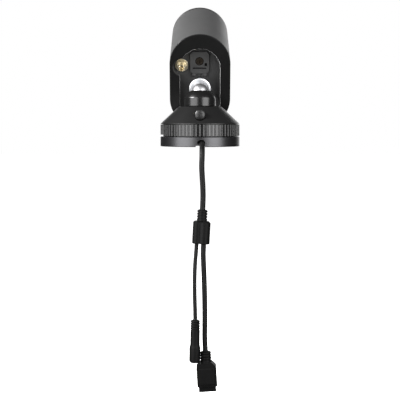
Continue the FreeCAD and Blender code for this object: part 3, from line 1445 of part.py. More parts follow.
def lens_holder():
    """Block that the barrel is screwed into, in front of the sensor."""
    end = D.holder_back + D.holder_length
    half = D.holder_half
    box = block("holder_box", -half, half, D.holder_back, end, D.lens_z - half, D.lens_z + half)
    bore = rod("holder_bore", D.barrel_rear_radius, D.barrel_back - 1, end + 1, 0, D.lens_z)
    room = block("holder_room", -7, 7, D.holder_back - 1, D.barrel_back - 0.5, D.lens_z - 7, D.lens_z + 7)
    return keep("lens_holder", cut("lens_holder", box, bore, room), head_frame())


def infrared_filter():
    """Glass plate between the lens and the sensor."""
    start = D.holder_back + D.sensor_thickness + 1.5
    half = D.filter_half
    piece = block("infrared_filter", -half, half, start, start + D.filter_thickness, D.lens_z - half,
                  D.lens_z + half)
    return keep("infrared_filter", piece, head_frame())


def image_sensor():
    half = D.sensor_half
    piece = block("image_sensor", -half, half, D.holder_back, D.holder_back + D.sensor_thickness,
                  D.lens_z - half * 0.8, D.lens_z + half * 0.8)
    return keep("image_sensor", piece, head_frame())


def sensor_board():
    half = D.sensor_board_half
    piece = block("sensor_board", -half, half, D.holder_back - D.board_thickness, D.holder_back,
                  D.lens_z - half, D.lens_z + half)
    return keep("sensor_board", piece, head_frame())


def lamp_board():
    """Board for the infrared lamps, with a hole for the lens."""
    end = D.lamp_board_start + D.board_thickness
    plate = pill("lamp_board_plate", D.lamp_board_radius, D.lamp_board_start, end)
    hole = rod("lamp_board_way", D.lamp_board_hole, D.lamp_board_start - 1, end + 1, 0, D.lens_z)
    return keep("lamp_board", cut("lamp_board", plate, hole), head_frame())


def lamp_places():
    """A circle of lamps around the lens, open below, and two rows under it."""
    places = []
    for number in range(CIRCLE_LAMPS):
        angle = math.radians(-50 + number * 280 / (CIRCLE_LAMPS - 1))
        x = D.lamp_circle * math.cos(angle)
        z = D.lens_z + D.lamp_circle * math.sin(angle)
        places.append((x, z))
    for row in (-0.5, 0.5):
        for column in (-1, 0, 1):
            places.append((D.lamp_pitch * column, D.lamp_row_z + D.lamp_pitch * row))
    return places


def infrared_lamps():
    lamps = []
    start = D.lamp_board_start + D.board_thickness
    for x, z in lamp_places():
        can = rod("lamp_body", D.lamp_radius, start, start + D.lamp_height, x, z)
        dome = primitive("Sphere", "lamp_dome", Radius=D.lamp_radius * 0.92)
        move(dome, x, start + D.lamp_height, z)
        lamps.append(joined("lamp", can, dome))
    whole = grouped("infrared_lamps", *[trimmed_lamp(lamp, start) for lamp in lamps])
    return keep("infrared_lamps", whole, head_frame())


def trimmed_lamp(lamp, start):
    """Cut off what a lamp's dome would leave below the board's face."""
    spare = block("lamp_spare", -D.pill_radius, D.pill_radius, start - 10, start, D.pill_low * 4,
                  D.pill_high * 4)
    return cut("lamp_trimmed", lamp, spare)


# ---------------------------------------------------------------- inside of the head

def chassis():
    """Folded channel that carries the boards."""
    half = D.rail_half
    wall = D.rail_wall
    top = D.main_board_z
    floor = block("rail_floor", -half, half, D.rail_start, D.rail_end, D.rail_low, D.rail_low + wall)
    pieces = [floor]
    for side in (-1, 1):
        outer = half * side
        inner = (half - wall) * side
        flange = (half - D.rail_flange) * side
        low, high = (outer, inner) if side < 0 else (inner, outer)
        pieces.append(block("rail_side", low, high, D.rail_start, D.rail_end, D.rail_low, top))
        low, high = (outer, flange) if side < 0 else (flange, outer)
        pieces.append(block("rail_flange_strip", low, high, D.rail_start, D.main_board_end, top - wall, top))
    posts = [drum("board_post", D.board_screw_head, D.rail_low, D.power_board_z, x, y)
             for x, y in power_screw_places()]
    holes = board_rods("rail_hole", D.board_screw, D.rail_low + wall + 1, D.power_board_z + 1, top - wall - 1,
                       top + 1)
    return keep("chassis", cut("chassis", joined("chassis_solid", *pieces, *posts), *holes), head_frame())


def main_screw_places():
    x = D.rail_half - 3.0
    return [(x * side, y) for side in (-1, 1) for y in (D.rail_start + 22, D.main_board_end - 8)]


def power_screw_places():
    x = D.power_board_half - 3.5
    return [(x * side, y) for side in (-1, 1) for y in (D.power_board_start + 4, D.power_board_end - 4)]


def board_rods(name, radius, power_low, power_high, main_low, main_high):
    """Upright rods at the screws of both boards."""
    rods = [drum(name, radius, power_low, power_high, x, y) for x, y in power_screw_places()]
    rods += [drum(name, radius, main_low, main_high, x, y) for x, y in main_screw_places()]
    return rods


def board_screws():
    """Eight pan-head screws of the two boards."""
    power_top = D.power_board_z + D.board_thickness
    main_top = D.main_board_z + D.board_thickness
    wall = D.rail_wall
    shanks = board_rods("board_shank", D.board_screw, D.rail_low + wall + 1, power_top + 0.1,
                        D.main_board_z - wall, main_top + 0.1)
    heads = board_rods("board_head", D.board_screw_head, power_top, power_top + 1.5, main_top, main_top + 1.5)
    screws = [joined("board_screw_solid", shank, head) for shank, head in zip(shanks, heads)]
    return keep("board_screws", grouped("board_screws", *screws), head_frame())


def main_board():
    top = D.main_board_z + D.board_thickness
    plate = block("main_board_plate", -D.main_board_half, D.main_board_half, D.slot_start, D.main_board_end,
                  D.main_board_z, top)
    holes = [drum("main_board_hole", D.board_screw, D.main_board_z - 1, top + 1, x, y)
             for x, y in main_screw_places()]
    return keep("main_board", cut("main_board", plate, *holes), head_frame())


def processor_middle():
    return (D.rail_start + D.main_board_end) / 2 + D.chip_forward


def board_parts():
    """Processor, memory, aerial plug and other parts soldered on the main board."""
    low = D.main_board_z + D.board_thickness
    half = D.chip_half
    middle = processor_middle()
    processor = block("processor", -half, half, middle - half, middle + half, low, low + D.chip_height)
    lead_end = D.aerial_floor + D.aerial_in + 24
    x = D.aerial_x + 2
    plug = block("aerial_plug", x - 1.5, x + 1.5, lead_end, lead_end + 3, low, low + 2.8)
    memory = block("memory_chip", -20, -11, middle - 4, middle + 8, low, low + 1.1)
    coil = drum("board_coil", D.coil_radius, low, low + 4, 19, middle + 6)
    return keep("board_parts", grouped("board_parts", processor, plug, memory, coil), head_frame())


def heat_spreader():
    """Finned plate on the processor."""
    low = D.main_board_z + D.board_thickness + D.chip_height
    middle = processor_middle()
    half = D.spreader_half
    foot = block("spreader_foot", -half * 0.65, half, middle - half, middle + half, low, low + 2)
    fins = [foot]
    pitch = (half * 1.65 - 1.2) / (FIN_COUNT - 1)
    for number in range(FIN_COUNT):
        x = -half * 0.65 + pitch * number
        fins.append(block("fin", x, x + 1.2, middle - half, middle + half, low + 1, low + 2 + D.fin_height))
    return keep("heat_spreader", joined("heat_spreader", *fins), head_frame())


def power_board():
    top = D.power_board_z + D.board_thickness
    plate = block("power_board_plate", -D.power_board_half, D.power_board_half, D.power_board_start,
                  D.power_board_end, D.power_board_z, top)
    holes = [drum("power_board_hole", D.board_screw, D.power_board_z - 1, top + 1, x, y)
             for x, y in power_screw_places()]
    return keep("power_board", cut("power_board", plate, *holes), head_frame())


def power_parts():
    """Transformer, capacitors and cable plug soldered on the power board."""
    low = D.power_board_z + D.board_thickness
    start = D.power_board_start
    half = D.transformer_half
    transformer = block("transformer", -half, half, start + 24, start + 24 + half * 2, low,
                        low + D.transformer_height)
    plug = block("lead_plug", -6, 6, start + 3, start + 10, low, low + 7)
    cans = [drum("capacitor", D.capacitor_radius, low, low + D.capacitor_height, x, start + 16)
            for x in (-8, 6)]
    return keep("power_parts", grouped("power_parts", transformer, plug, *cans), head_frame())


# ---------------------------------------------------------------- pigtail

def pigtail_frame(point, lean):
    """The frame of a piece on the cable: it hangs down from a point, and leans in the XZ plane."""
    return place_text(point[0], point[1], point[2], [(Y_AXIS, lean)])


def relief_profile(radius, length, cable_radius, grooves):
    """Profile of a ribbed relief that hangs down from z = 0."""
    pitch = length / (grooves + 1)
    points = [(0, 0), (cable_radius + D.relief_shoulder, 0), (radius, -pitch * 0.35)]
    floor = radius - D.groove_depth
    for number in range(1, grooves + 1):
        middle = -pitch * number
        points += [(radius, middle + D.groove_mouth), (floor, middle + D.groove_floor),
                   (floor, middle - D.groove_floor), (radius, middle - D.groove_mouth)]
    points += [(radius, -length), (0, -length)]
    return points


def split_block():
    """Moulded splitter: a ribbed relief above, and a lobe for each branch."""
    relief = turned("split_relief", relief_profile(D.relief_radius, D.relief_length, D.cable_radius, 3))
    top = -D.relief_length + 0.4
    low = -D.relief_length - D.split_length
    lobes = []
    for x, radius in ((D.split_power_x, D.split_power_radius), (D.split_data_x, D.split_data_radius)):
        edge = radius * 0.3
        lobe = turned("split_lobe", [
            (0, low), (radius - 0.6, low), (radius, low + 0.6), (radius, top - edge - 0.4),
            (radius - edge, top - 0.4), (0, top - 0.4)])
        lobes.append(move(lobe, x, 0, 0))
    web = block("split_web", D.split_power_x, D.split_data_x, -D.split_power_radius * 0.8,
                D.split_power_radius * 0.8, low + 0.6, top - 1.5)
    frame = pigtail_frame(MAIN_ROUTE[-1], D.split_lean)
    return keep("split_block", joined("split_block", relief, *lobes, web), frame)


def power_socket():
    """Round power socket: relief, neck and a swelling body, with its bore in the lower end."""
    neck_end = D.power_relief_length + D.power_neck_length
    end = neck_end + D.power_body_length
    profile = relief_profile(D.power_relief_radius, D.power_relief_length, D.power_cable_radius, 4)[:-1]
    profile += [
        (D.power_relief_radius, -neck_end),
        (D.power_body_radius, -neck_end - 3),
        (D.power_body_radius, -end + 2),
        (D.power_body_radius - 0.6, -end + 0.6),
        (D.power_body_radius - 1.4, -end),
        (D.power_bore, -end),
        (D.power_bore, -end + D.power_bore_depth),
        (0, -end + D.power_bore_depth),
    ]
    frame = pigtail_frame(POWER_ROUTE[-1], D.power_lean)
    return keep("power_socket", turned("power_socket", profile), frame)


def power_pin():
    """Centre pin of the power socket."""
    end = D.power_relief_length + D.power_neck_length + D.power_body_length
    piece = drum("power_pin", D.power_pin, -end + 1.0, -end + D.power_bore_depth)
    return keep("power_pin", piece, pigtail_frame(POWER_ROUTE[-1], D.power_lean))


def data_socket():
    """Square data socket: relief, chamfered body with a raised panel, and the jack's mouth."""
    relief = turned("data_relief", relief_profile(D.data_relief_radius, D.data_relief_length,
                                                  D.data_cable_radius, 3))
    top = -D.data_relief_length + 0.4
    low = top - D.data_body_length
    half = D.data_body_half
    deep = D.data_body_depth / 2
    outline = [(-half, low), (half, low), (half, top - 4), (half * 0.6, top), (-half * 0.6, top),
               (-half, top - 4)]
    sketch = free_sketch("data_outline", -deep)
    draw_polygon(sketch, outline)
    shell = slab("data_body", sketch, D.data_body_depth)
    panel = block("data_panel", -half * 0.72, half * 0.72, -deep - 0.8, -deep + 1, low + 2.5, top - 5.5)
    lip = block("data_lip", -D.data_lip_half, D.data_lip_half, -deep + 1.2, deep - 1.2,
                low - D.data_lip_length, low + 1)
    solid = joined("data_solid", relief, shell, panel, lip)
    mouth = low - D.data_lip_length
    jack = block("jack_way", -D.jack_half, D.jack_half, -D.jack_height / 2, D.jack_height / 2, mouth - 1,
                 mouth + D.jack_depth)
    latch = block("latch_way", -D.jack_latch_half, D.jack_latch_half, D.jack_height / 2 - 0.5,
                  D.jack_height / 2 + D.jack_latch_height - 0.6, mouth - 1, mouth + D.jack_depth)
    frame = pigtail_frame(DATA_ROUTE[-1], D.data_lean)
    return keep("data_socket", cut("data_socket", solid, jack, latch), frame)


def data_contacts():
    """Eight spring contacts in the jack."""
    mouth = -D.data_relief_length + 0.4 - D.data_body_length - D.data_lip_length
    contacts = []
    wire = 0.25
    for number in range(JACK_CONTACTS):
        x = (number - (JACK_CONTACTS - 1) / 2) * 1.02
        contacts.append(block("data_contact", Size.of(x - wire), Size.of(x + wire), -D.jack_height / 2,
                              -D.jack_height / 2 + 0.8, mouth + 4, mouth + D.jack_depth))
    frame = pigtail_frame(DATA_ROUTE[-1], D.data_lean)
    return keep("data_contacts", grouped("data_contacts", *contacts), frame)


def cables():
    keep("main_cable", tube("main_cable", MAIN_ROUTE, D.cable_radius))
    keep("power_cable", tube("power_cable", POWER_ROUTE, D.power_cable_radius))
    keep("data_cable", tube("data_cable", DATA_ROUTE, D.data_cable_radius))


# ---------------------------------------------------------------- the whole object

def build():
    for make in (base_plate, cable_clamp, clamp_screws, inner_lead, base_seal, mount_cone, lock_ring, pan_lock,
                 collar_post, ball_seat, seat_springs, seat_plug, post_washer, post_clip,
                 ball_stud, stud_nut, stud_lead,
                 rear_cap, hinge_pins, rear_seal, threaded_insert, body_shell,
                 aerial_socket, aerial_washer, aerial_nut, aerial_lead,
                 service_door, door_seal, door_lock, card_slot, memory_card, reset_switch, reset_button,
                 front_seal, front_bezel, front_window, lens_shade, lens_barrel, lens_elements, lens_holder,
                 infrared_filter, image_sensor, sensor_board, lamp_board, infrared_lamps,
                 chassis, board_screws, main_board, board_parts, heat_spreader, power_board, power_parts,
                 split_block, power_socket, power_pin, data_socket, data_contacts, cables):
        make()


def check():
    """Stop if any object failed or any sub-part has no valid solid."""
    for item in doc.Objects:
        if "Invalid" in item.State or "Error" in item.State:
            raise ValueError(item.Label + " failed: " + str(item.State))
    for name, piece in SUBPARTS.items():
        shape = piece.Shape
        if shape.isNull() or not shape.isValid() or not shape.Solids:
            raise ValueError(name + " has no valid solid")


build()
doc.recompute()
check()
os.makedirs("parts", exist_ok=True)
for name, piece in SUBPARTS.items():
    piece.Shape.exportStep("parts/" + name + ".step")
print(len(SUBPARTS), "sub-parts")
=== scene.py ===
# %% [markdown]
# # A network camera on a ball mount
# The camera head is a tube with a round top and a round bottom, held by a chromed ball on a round base.
# A short cable leaves the base, splits in two, and ends in a power socket and a data socket.
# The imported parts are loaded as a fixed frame, and every piece made here is put on one of its bodies.

import json
import math

import bmesh
import bpy
from mathutils import Matrix, Vector


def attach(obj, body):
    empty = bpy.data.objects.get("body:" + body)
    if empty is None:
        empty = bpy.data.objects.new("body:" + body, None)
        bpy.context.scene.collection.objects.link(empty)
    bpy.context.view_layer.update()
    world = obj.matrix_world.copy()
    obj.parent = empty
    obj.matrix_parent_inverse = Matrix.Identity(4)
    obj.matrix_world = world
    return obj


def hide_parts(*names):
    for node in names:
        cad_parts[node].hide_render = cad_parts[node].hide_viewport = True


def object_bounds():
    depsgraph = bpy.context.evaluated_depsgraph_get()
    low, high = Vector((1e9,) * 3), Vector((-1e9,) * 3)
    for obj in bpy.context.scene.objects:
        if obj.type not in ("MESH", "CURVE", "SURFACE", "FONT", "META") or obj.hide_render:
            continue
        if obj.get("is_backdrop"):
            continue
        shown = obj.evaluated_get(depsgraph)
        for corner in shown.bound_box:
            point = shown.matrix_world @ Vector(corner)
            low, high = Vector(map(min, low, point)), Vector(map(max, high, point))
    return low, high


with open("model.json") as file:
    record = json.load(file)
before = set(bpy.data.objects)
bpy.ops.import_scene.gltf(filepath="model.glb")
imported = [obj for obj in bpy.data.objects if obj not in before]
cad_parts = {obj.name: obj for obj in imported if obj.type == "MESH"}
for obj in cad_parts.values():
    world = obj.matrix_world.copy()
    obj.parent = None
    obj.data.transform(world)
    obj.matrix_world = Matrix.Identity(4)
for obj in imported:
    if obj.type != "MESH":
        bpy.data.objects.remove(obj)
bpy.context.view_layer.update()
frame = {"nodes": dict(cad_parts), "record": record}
nodes = frame["nodes"]
joints = {joint["name"]: joint for joint in frame["record"]["behaviour"]["joints"]}
MM = 0.001

# %% [markdown]
# The head is tilted at rest, so a piece on it is easiest to draw in the head's own axes: x to the
# right, y forward along the stud, z up across the head. The tilt joint gives the origin, the middle
# of the ball, and the roll joint gives the forward way.

# %% The head's own axes
ball = Vector(joints["tilt"]["pos_m"])
forward = Vector(joints["roll"]["axis"]).normalized()
right = Vector((1, 0, 0))
upward = right.cross(forward)
HEAD = Matrix.Translation(ball) @ Matrix((right, forward, upward)).transposed().to_4x4()
print("ball centre", [round(c, 4) for c in ball], "tilt", round(math.degrees(math.asin(forward.z)), 2))


def nearest(node):
    """How far forward of the ball a node begins."""
    return min((vertex.co - ball).dot(forward) for vertex in nodes[node].data.vertices)


# %% [markdown]
# The camera stands level with the cone and looks slightly down, from more than a metre away, through a
# long lens. That flattens the depth, so the base looks almost level and the head hides its own front.

# %% Camera
scene = bpy.context.scene
EYE = Vector((0.0, -1.1, 0.027))
LOOK_DOWN = math.radians(4.21)
camera_data = bpy.data.cameras.new("camera")
camera_data.lens = 99.0
camera_data.sensor_width = 36.0
camera_data.clip_start = 0.05
camera = bpy.data.objects.new("camera", camera_data)
camera.location = EYE
camera.rotation_euler = (math.radians(90) - LOOK_DOWN, 0, 0)
scene.collection.objects.link(camera)
scene.camera = camera

# %% [markdown]
# Cables come next. A cable is one smooth line with a round section, so a NURBS curve with a bevel is
# the right tool: its points are few, and they can be moved by hand until the cable hangs as it should.
# The points are those of the design, in millimetres.

# %% Routes of the three cables
MAIN_ROUTE = (
    (2.15, -31.0, 3.6),
    (2.15, -40.2, 3.6),
    (2.1, -48.2, -1.0),
    (2.0, -52.8, -9.1),
    (1.6, -53.4, -18.2),
    (2.1, -53.5, -27.6),
    (2.75, -53.5, -37.6),
    (3.0, -53.4, -48.5),
    (2.45, -53.4, -59.3),
)
POWER_ROUTE = (
    (-3.26, -53.4, -91.85),
    (-3.66, -53.5, -99.4),
    (-4.55, -54.2, -108.0),
    (-5.05, -55.3, -119.0),
    (-5.25, -56.0, -131.3),
    (-5.05, -56.3, -143.6),
    (-4.7, -56.4, -154.8),
    (-4.5, -56.4, -165.0),
)
DATA_ROUTE = (
    (3.43, -53.4, -92.2),
    (3.0, -53.4, -100.4),
    (3.35, -53.1, -110.4),
    (3.9, -52.6, -122.8),
    (4.35, -52.3, -137.6),
    (4.65, -52.1, -153.8),
    (4.7, -52.0, -170.6),
    (4.5, -52.0, -184.2),
    (5.15, -52.0, -196.2),
)


def cable(name, route, radius):
    """A free cable along a route given in millimetres."""
    points = [Vector(point) * MM for point in route]
    curve = bpy.data.curves.new(name, "CURVE")
    curve.dimensions = "3D"
    spline = curve.splines.new("NURBS")
    spline.points.add(len(points) - 1)
    for control, point in zip(spline.points, points):
        control.co = (*point, 1)
        control.radius = radius * MM  # the bevel below is one metre, times this
    spline.order_u = 3
    spline.use_endpoint_u = True
    spline.resolution_u = 10
    curve.bevel_depth = 1.0
    curve.bevel_resolution = 8
    curve.use_fill_caps = True
    piece = bpy.data.objects.new(name, curve)
    scene.collection.objects.link(piece)
    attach(piece, "base")
    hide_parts(name.replace("_sheath", ""))
    print(name, "has", len(points), "points")
    return piece


MAIN_RADIUS = 2.6
POWER_RADIUS = 1.95
DATA_RADIUS = 2.5
main_sheath = cable("main_cable_sheath", MAIN_ROUTE, MAIN_RADIUS)
power_sheath = cable("power_cable_sheath", POWER_ROUTE, POWER_RADIUS)
data_sheath = cable("data_cable_sheath", DATA_ROUTE, DATA_RADIUS)

# %% [markdown]
# Finishes are node trees, and node trees are easier to read as sums. `Reading` wraps one socket, so
# that `grain * 0.2 + 0.4` adds the nodes for it. `Finish` starts a material and adds any other node.

# %% A way to write shader maths


class Reading:
    """One socket of a material, which can be used in sums."""

    def __init__(self, finish, socket):
        self.finish = finish
        self.socket = socket

    def __add__(self, other):
        return self.finish.maths("ADD", self, other)

    def __mul__(self, other):
        return self.finish.maths("MULTIPLY", self, other)


class Finish:
    """A material with a Principled shader, built from expressions."""

    def __init__(self, name, **constants):
        self.material = bpy.data.materials.new(name)
        self.material.use_nodes = True
        self.tree = self.material.node_tree
        self.shader = self.tree.nodes["Principled BSDF"]
        for socket, value in constants.items():
            self.shader.inputs[socket.replace("_", " ")].default_value = value

    def node(self, kind, settings=None, output=0, **values):
        """Add a node: first its settings, then the values or links of its sockets."""
        item = self.tree.nodes.new("ShaderNode" + kind)
        for setting, value in (settings or {}).items():
            setattr(item, setting, value)
        for socket, value in values.items():
            self.feed(item.inputs[socket.replace("_", " ")], value)
        return Reading(self, item.outputs[output])

    def feed(self, socket, value):
        if isinstance(value, Reading):
            self.tree.links.new(value.socket, socket)
        else:
            socket.default_value = value

    def maths(self, operation, first, second):
        item = self.tree.nodes.new("ShaderNodeMath")
        item.operation = operation
        self.feed(item.inputs[0], first)
        self.feed(item.inputs[1], second)
        return Reading(self, item.outputs[0])

    def smooth_step(self, value, low, high):
        return self.node("MapRange", {"interpolation_type": "SMOOTHSTEP"}, Value=value, From_Min=low,
                         From_Max=high, To_Min=0.0, To_Max=1.0)

    def place(self, scale=(1, 1, 1)):
        """Object coordinates, stretched by scale."""
        where = self.node("TexCoord", output=3)
        return self.node("Mapping", Vector=where, Scale=scale)

    def noise(self, size, detail=2.0, scale=(1, 1, 1)):
        """Noise whose grains are about size metres across."""
        return self.node("TexNoise", {"noise_dimensions": "3D"}, Vector=self.place(scale),
                         Scale=1.0 / size, Detail=detail)

    def blend(self, factor, first, second):
        """Colour that goes from first to second."""
        item = self.tree.nodes.new("ShaderNodeMix")
        item.data_type = "RGBA"
        self.feed(item.inputs["Factor"], factor)
        self.feed(item.inputs[6], first)
        self.feed(item.inputs[7], second)
        return Reading(self, item.outputs[2])

    def bump(self, height, depth):
        """Let a height move the shading; depth is how far it stands out, in metres."""
        result = self.node("Bump", Height=height, Distance=depth, Strength=1.0)
        self.feed(self.shader.inputs["Normal"], result)

    def colour(self, value):
        self.feed(self.shader.inputs["Base Color"], value)

    def roughness(self, value):
        self.feed(self.shader.inputs["Roughness"], value)


def grey(level, warm=0.0):
    return (level * (1 + warm), level, level * (1 - warm), 1)


FINISHES = {}

# %% [markdown]
# Powder coat is a skin of melted paint with a fine, even orange peel. The colour is nearly flat; what
# tells it apart from plastic is the small bump and a sheen that changes a little over some centimetres.

# %% Painted and coated finishes


def coated(name, level, gloss, peel, warm=0.0, metallic=0.0):
    """Paint or powder coat over metal."""
    finish = Finish(name, Metallic=metallic, Specular_IOR_Level=0.5)
    cloud = finish.noise(0.03, 3.0)
    grain = finish.noise(0.0006, 2.0)
    dust = finish.smooth_step(finish.noise(0.0024, 4.0), 0.62, 0.74)
    base = finish.blend(cloud * 0.5 + grain * 0.3, grey(level * 0.9, warm), grey(level * 1.12, warm))
    finish.colour(finish.blend(dust * 0.10, base, grey(min(1, level * 2.2), warm)))
    finish.roughness(cloud * 0.10 + grain * 0.06 + (gloss - 0.08))
    finish.bump(grain, peel)
    FINISHES[name] = finish.material


coated("grey_paint", 0.055, 0.50, 0.00003)
coated("black_paint", 0.005, 0.38, 0.00001)
coated("black_gloss", 0.004, 0.26, 0.00001)
coated("lock_metal", 0.05, 0.20, 0.000002, warm=0.24, metallic=0.8)

# %% [markdown]
# Moulded plastic copies the spark-eroded grain of its mould. Rubber is the same idea with a duller
# skin, and the jacket of a cable is darker and smoother than the rest.

# %% Plastics and rubbers


def moulded(name, level, gloss, grain_size, depth, warm=0.0, shine=0.45):
    """Plastic or rubber with a mould grain."""
    finish = Finish(name, Metallic=0.0, Specular_IOR_Level=shine)
    cloud = finish.noise(0.02, 2.0)
    grain = finish.node("TexVoronoi", {"feature": "SMOOTH_F1"}, Vector=finish.place(), Scale=1 / grain_size)
    fine = finish.noise(grain_size * 0.5, 3.0)
    finish.colour(finish.blend(cloud * 0.6 + fine * 0.3, grey(level * 0.85, warm), grey(level * 1.2, warm)))
    finish.roughness(cloud * 0.08 + fine * 0.08 + (gloss - 0.08))
    finish.bump(grain * 0.7 + fine * 0.3, depth)
    FINISHES[name] = finish.material


moulded("black_plastic", 0.003, 0.34, 0.0005, 0.00001, shine=0.3)
moulded("recess_lining", 0.022, 0.60, 0.0006, 0.00004)
# Near-white paint on the chamfer of the recess's edge: a painted highlight where the machined edge catches
# light.
moulded("painted_highlight_edge", 0.95, 0.40, 0.0008, 0.000005, shine=1.0)
moulded("black_ring", 0.006, 0.20, 0.0005, 0.000002, shine=0.6)
moulded("door_plastic", 0.026, 0.52, 0.0007, 0.00004)
moulded("white_plastic", 0.62, 0.45, 0.0007, 0.00003, warm=0.03)
moulded("cable_rubber", 0.005, 0.44, 0.0009, 0.000002, shine=0.12)
moulded("cable_moulding", 0.004, 0.46, 0.0007, 0.000005, shine=0.08)
# Near-black paint for deep gaps, rebates and slots: painted shade.
moulded("painted_gap_shade", 0.001, 0.70, 0.0008, 0.00001, shine=0.05)
moulded("seal_rubber", 0.012, 0.70, 0.0006, 0.00004)
moulded("board_black", 0.010, 0.35, 0.0008, 0.00002)
moulded("chip_black", 0.016, 0.55, 0.0003, 0.00002)

# %% [markdown]
# Metals: the chrome is softly bright with fine marks that have no direction. Brass, steel, the bare
# alloy and the gold-plated contact have fine lines along one axis, and the base plate has level ones.

# %% Bare metals


def metal(name, colour, gloss, scale, line_size, depth):
    """Bare metal with lines drawn out along the axes whose scale is small."""
    finish = Finish(name, Metallic=1.0)
    lines = finish.noise(line_size, 3.0, scale)
    cloud = finish.noise(0.015, 3.0)
    darker = tuple(channel * 0.82 for channel in colour) + (1,)
    finish.colour(finish.blend(lines * 0.6 + cloud * 0.3, darker, tuple(colour) + (1,)))
    finish.roughness(lines * 0.14 + cloud * 0.05 + (gloss - 0.09))
    finish.bump(lines, depth)
    FINISHES[name] = finish.material


metal("chrome", (0.74, 0.75, 0.77), 0.40, (1, 1, 1), 0.0010, 0.000001)
metal("satin_chrome", (0.46, 0.46, 0.47), 0.44, (1, 1, 1), 0.0010, 0.000001)
metal("brass", (0.84, 0.75, 0.54), 0.30, (1, 0.05, 1), 0.0005, 0.000003)
metal("contact_gold", (0.86, 0.76, 0.54), 0.26, (0.05, 1, 0.05), 0.0004, 0.000002)
metal("steel", (0.50, 0.50, 0.51), 0.34, (1, 0.1, 1), 0.0006, 0.00001)
metal("bare_alloy", (0.86, 0.87, 0.88), 0.40, (1, 0.02, 1), 0.0008, 0.000005)
metal("base_alloy", (0.075, 0.075, 0.078), 0.36, (0.02, 0.02, 1), 0.0004, 0.00002)

# %% [markdown]
# The window is tinted glass that hides most of what is behind it. The lens elements are clear with a
# blue coating, the filter is pinkish, and the lamps are clear resin.

# %% Glass


def glassy(name, colour, alpha, gloss, tint):
    """Glass that is thin enough to be drawn as a see-through skin."""
    finish = Finish(name, Metallic=0.0, Specular_IOR_Level=0.8)
    smear = finish.noise(0.012, 3.0)
    finish.colour(finish.blend(smear, colour, tint))
    finish.roughness(smear * 0.05 + gloss)
    finish.feed(finish.shader.inputs["Alpha"], smear * 0.04 + alpha)
    FINISHES[name] = finish.material


glassy("window_glass", (0.006, 0.006, 0.008, 1), 0.55, 0.04, (0.012, 0.010, 0.016, 1))
glassy("lens_glass", (0.02, 0.04, 0.12, 1), 0.60, 0.02, (0.10, 0.03, 0.12, 1))
glassy("filter_glass", (0.35, 0.12, 0.16, 1), 0.55, 0.05, (0.30, 0.16, 0.22, 1))
glassy("lamp_clear", (0.30, 0.30, 0.34, 1), 0.80, 0.06, (0.22, 0.22, 0.26, 1))

# %% [markdown]
# A circuit board shows its copper tracks as slightly raised, slightly lighter lines under the solder
# mask. A brick pattern of long thin bricks gives lines that turn only at right angles.

# %% Circuit board
board = Finish("board_green", Metallic=0.0)
tracks = board.node("TexBrick", {"offset": 0.37, "squash": 0.6, "squash_frequency": 3}, output=1,
                    Vector=board.place(), Scale=260.0, Mortar_Size=0.05, Mortar_Smooth=0.3,
                    Brick_Width=0.9, Row_Height=0.22)
board_cloud = board.noise(0.01, 2.0)
mask_colour = board.blend(board_cloud, (0.008, 0.055, 0.022, 1), (0.012, 0.075, 0.030, 1))
board.colour(board.blend(tracks * 0.7, mask_colour, (0.03, 0.16, 0.07, 1)))
board.roughness(board_cloud * 0.1 + 0.28)
board.bump(tracks, 0.00002)
FINISHES["board_green"] = board.material

# %% [markdown]
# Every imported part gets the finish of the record's slot that it belongs to. Its shape stays as it is.

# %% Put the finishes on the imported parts
slot_of = {part["node"]: part["material_slot"] for part in frame["record"]["subparts"]}
for name, piece in nodes.items():
    piece.data.materials.clear()
    piece.data.materials.append(FINISHES[slot_of[name]])
for piece in (main_sheath, power_sheath, data_sheath):
    piece.data.materials.append(FINISHES["cable_rubber"])
print("finished", len(nodes), "packed parts with", len(FINISHES), "finishes")

# %% [markdown]
# No real edge is perfectly sharp: a moulded or cast one is rounded by some tenths of a millimetre, and
# that small round catches a line of light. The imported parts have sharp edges, so the ones in view are
# copied, cleaned of the triangles on their flat faces, and given a narrow bevel.

# %% Rounded copies of the parts in view
EDGE_ANGLE = math.radians(28)
FLAT_ANGLE = math.radians(0.8)
SAME_POINT = 0.002


def body_of(name):
    """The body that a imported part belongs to."""
    for body, members in frame["record"]["behaviour"]["bodies"].items():
        if name in members:
            return body
    return None


def clean_copy(name):
    """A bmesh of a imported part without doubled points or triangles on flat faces."""
    shape = bmesh.new()
    shape.from_mesh(nodes[name].data)
    bmesh.ops.remove_doubles(shape, verts=shape.verts, dist=SAME_POINT * MM)
    bmesh.ops.dissolve_limit(shape, angle_limit=FLAT_ANGLE, verts=shape.verts, edges=shape.edges)
    return shape


def sharp(edge):
    return edge.is_manifold and edge.calc_face_angle(0.0) > EDGE_ANGLE


def softened(name, width, bright=None):
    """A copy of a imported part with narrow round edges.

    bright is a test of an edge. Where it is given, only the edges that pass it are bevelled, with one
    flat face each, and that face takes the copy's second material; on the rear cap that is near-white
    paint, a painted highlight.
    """
    shape = clean_copy(name)
    soft = [edge for edge in shape.edges if sharp(edge) and (bright is None or bright(edge))]
    bmesh.ops.bevel(shape, geom=soft, offset=width * MM, segments=1 if bright else 2, profile=0.5,
                    affect="EDGES", clamp_overlap=True, material=1 if bright else 0)
    for face in shape.faces:
        face.smooth = True
    mesh = bpy.data.meshes.new(name + "_soft")
    shape.to_mesh(mesh)
    shape.free()
    mesh.materials.append(FINISHES[slot_of[name]])
    piece = bpy.data.objects.new(name + "_soft", mesh)
    scene.collection.objects.link(piece)
    keep_flat = piece.modifiers.new("keep_flat", "WEIGHTED_NORMAL")
    keep_flat.keep_sharp = False
    keep_flat.weight = 80
    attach(piece, body_of(name))
    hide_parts(name)
    print(name, "bevelled", len(soft), "edges")
    return piece
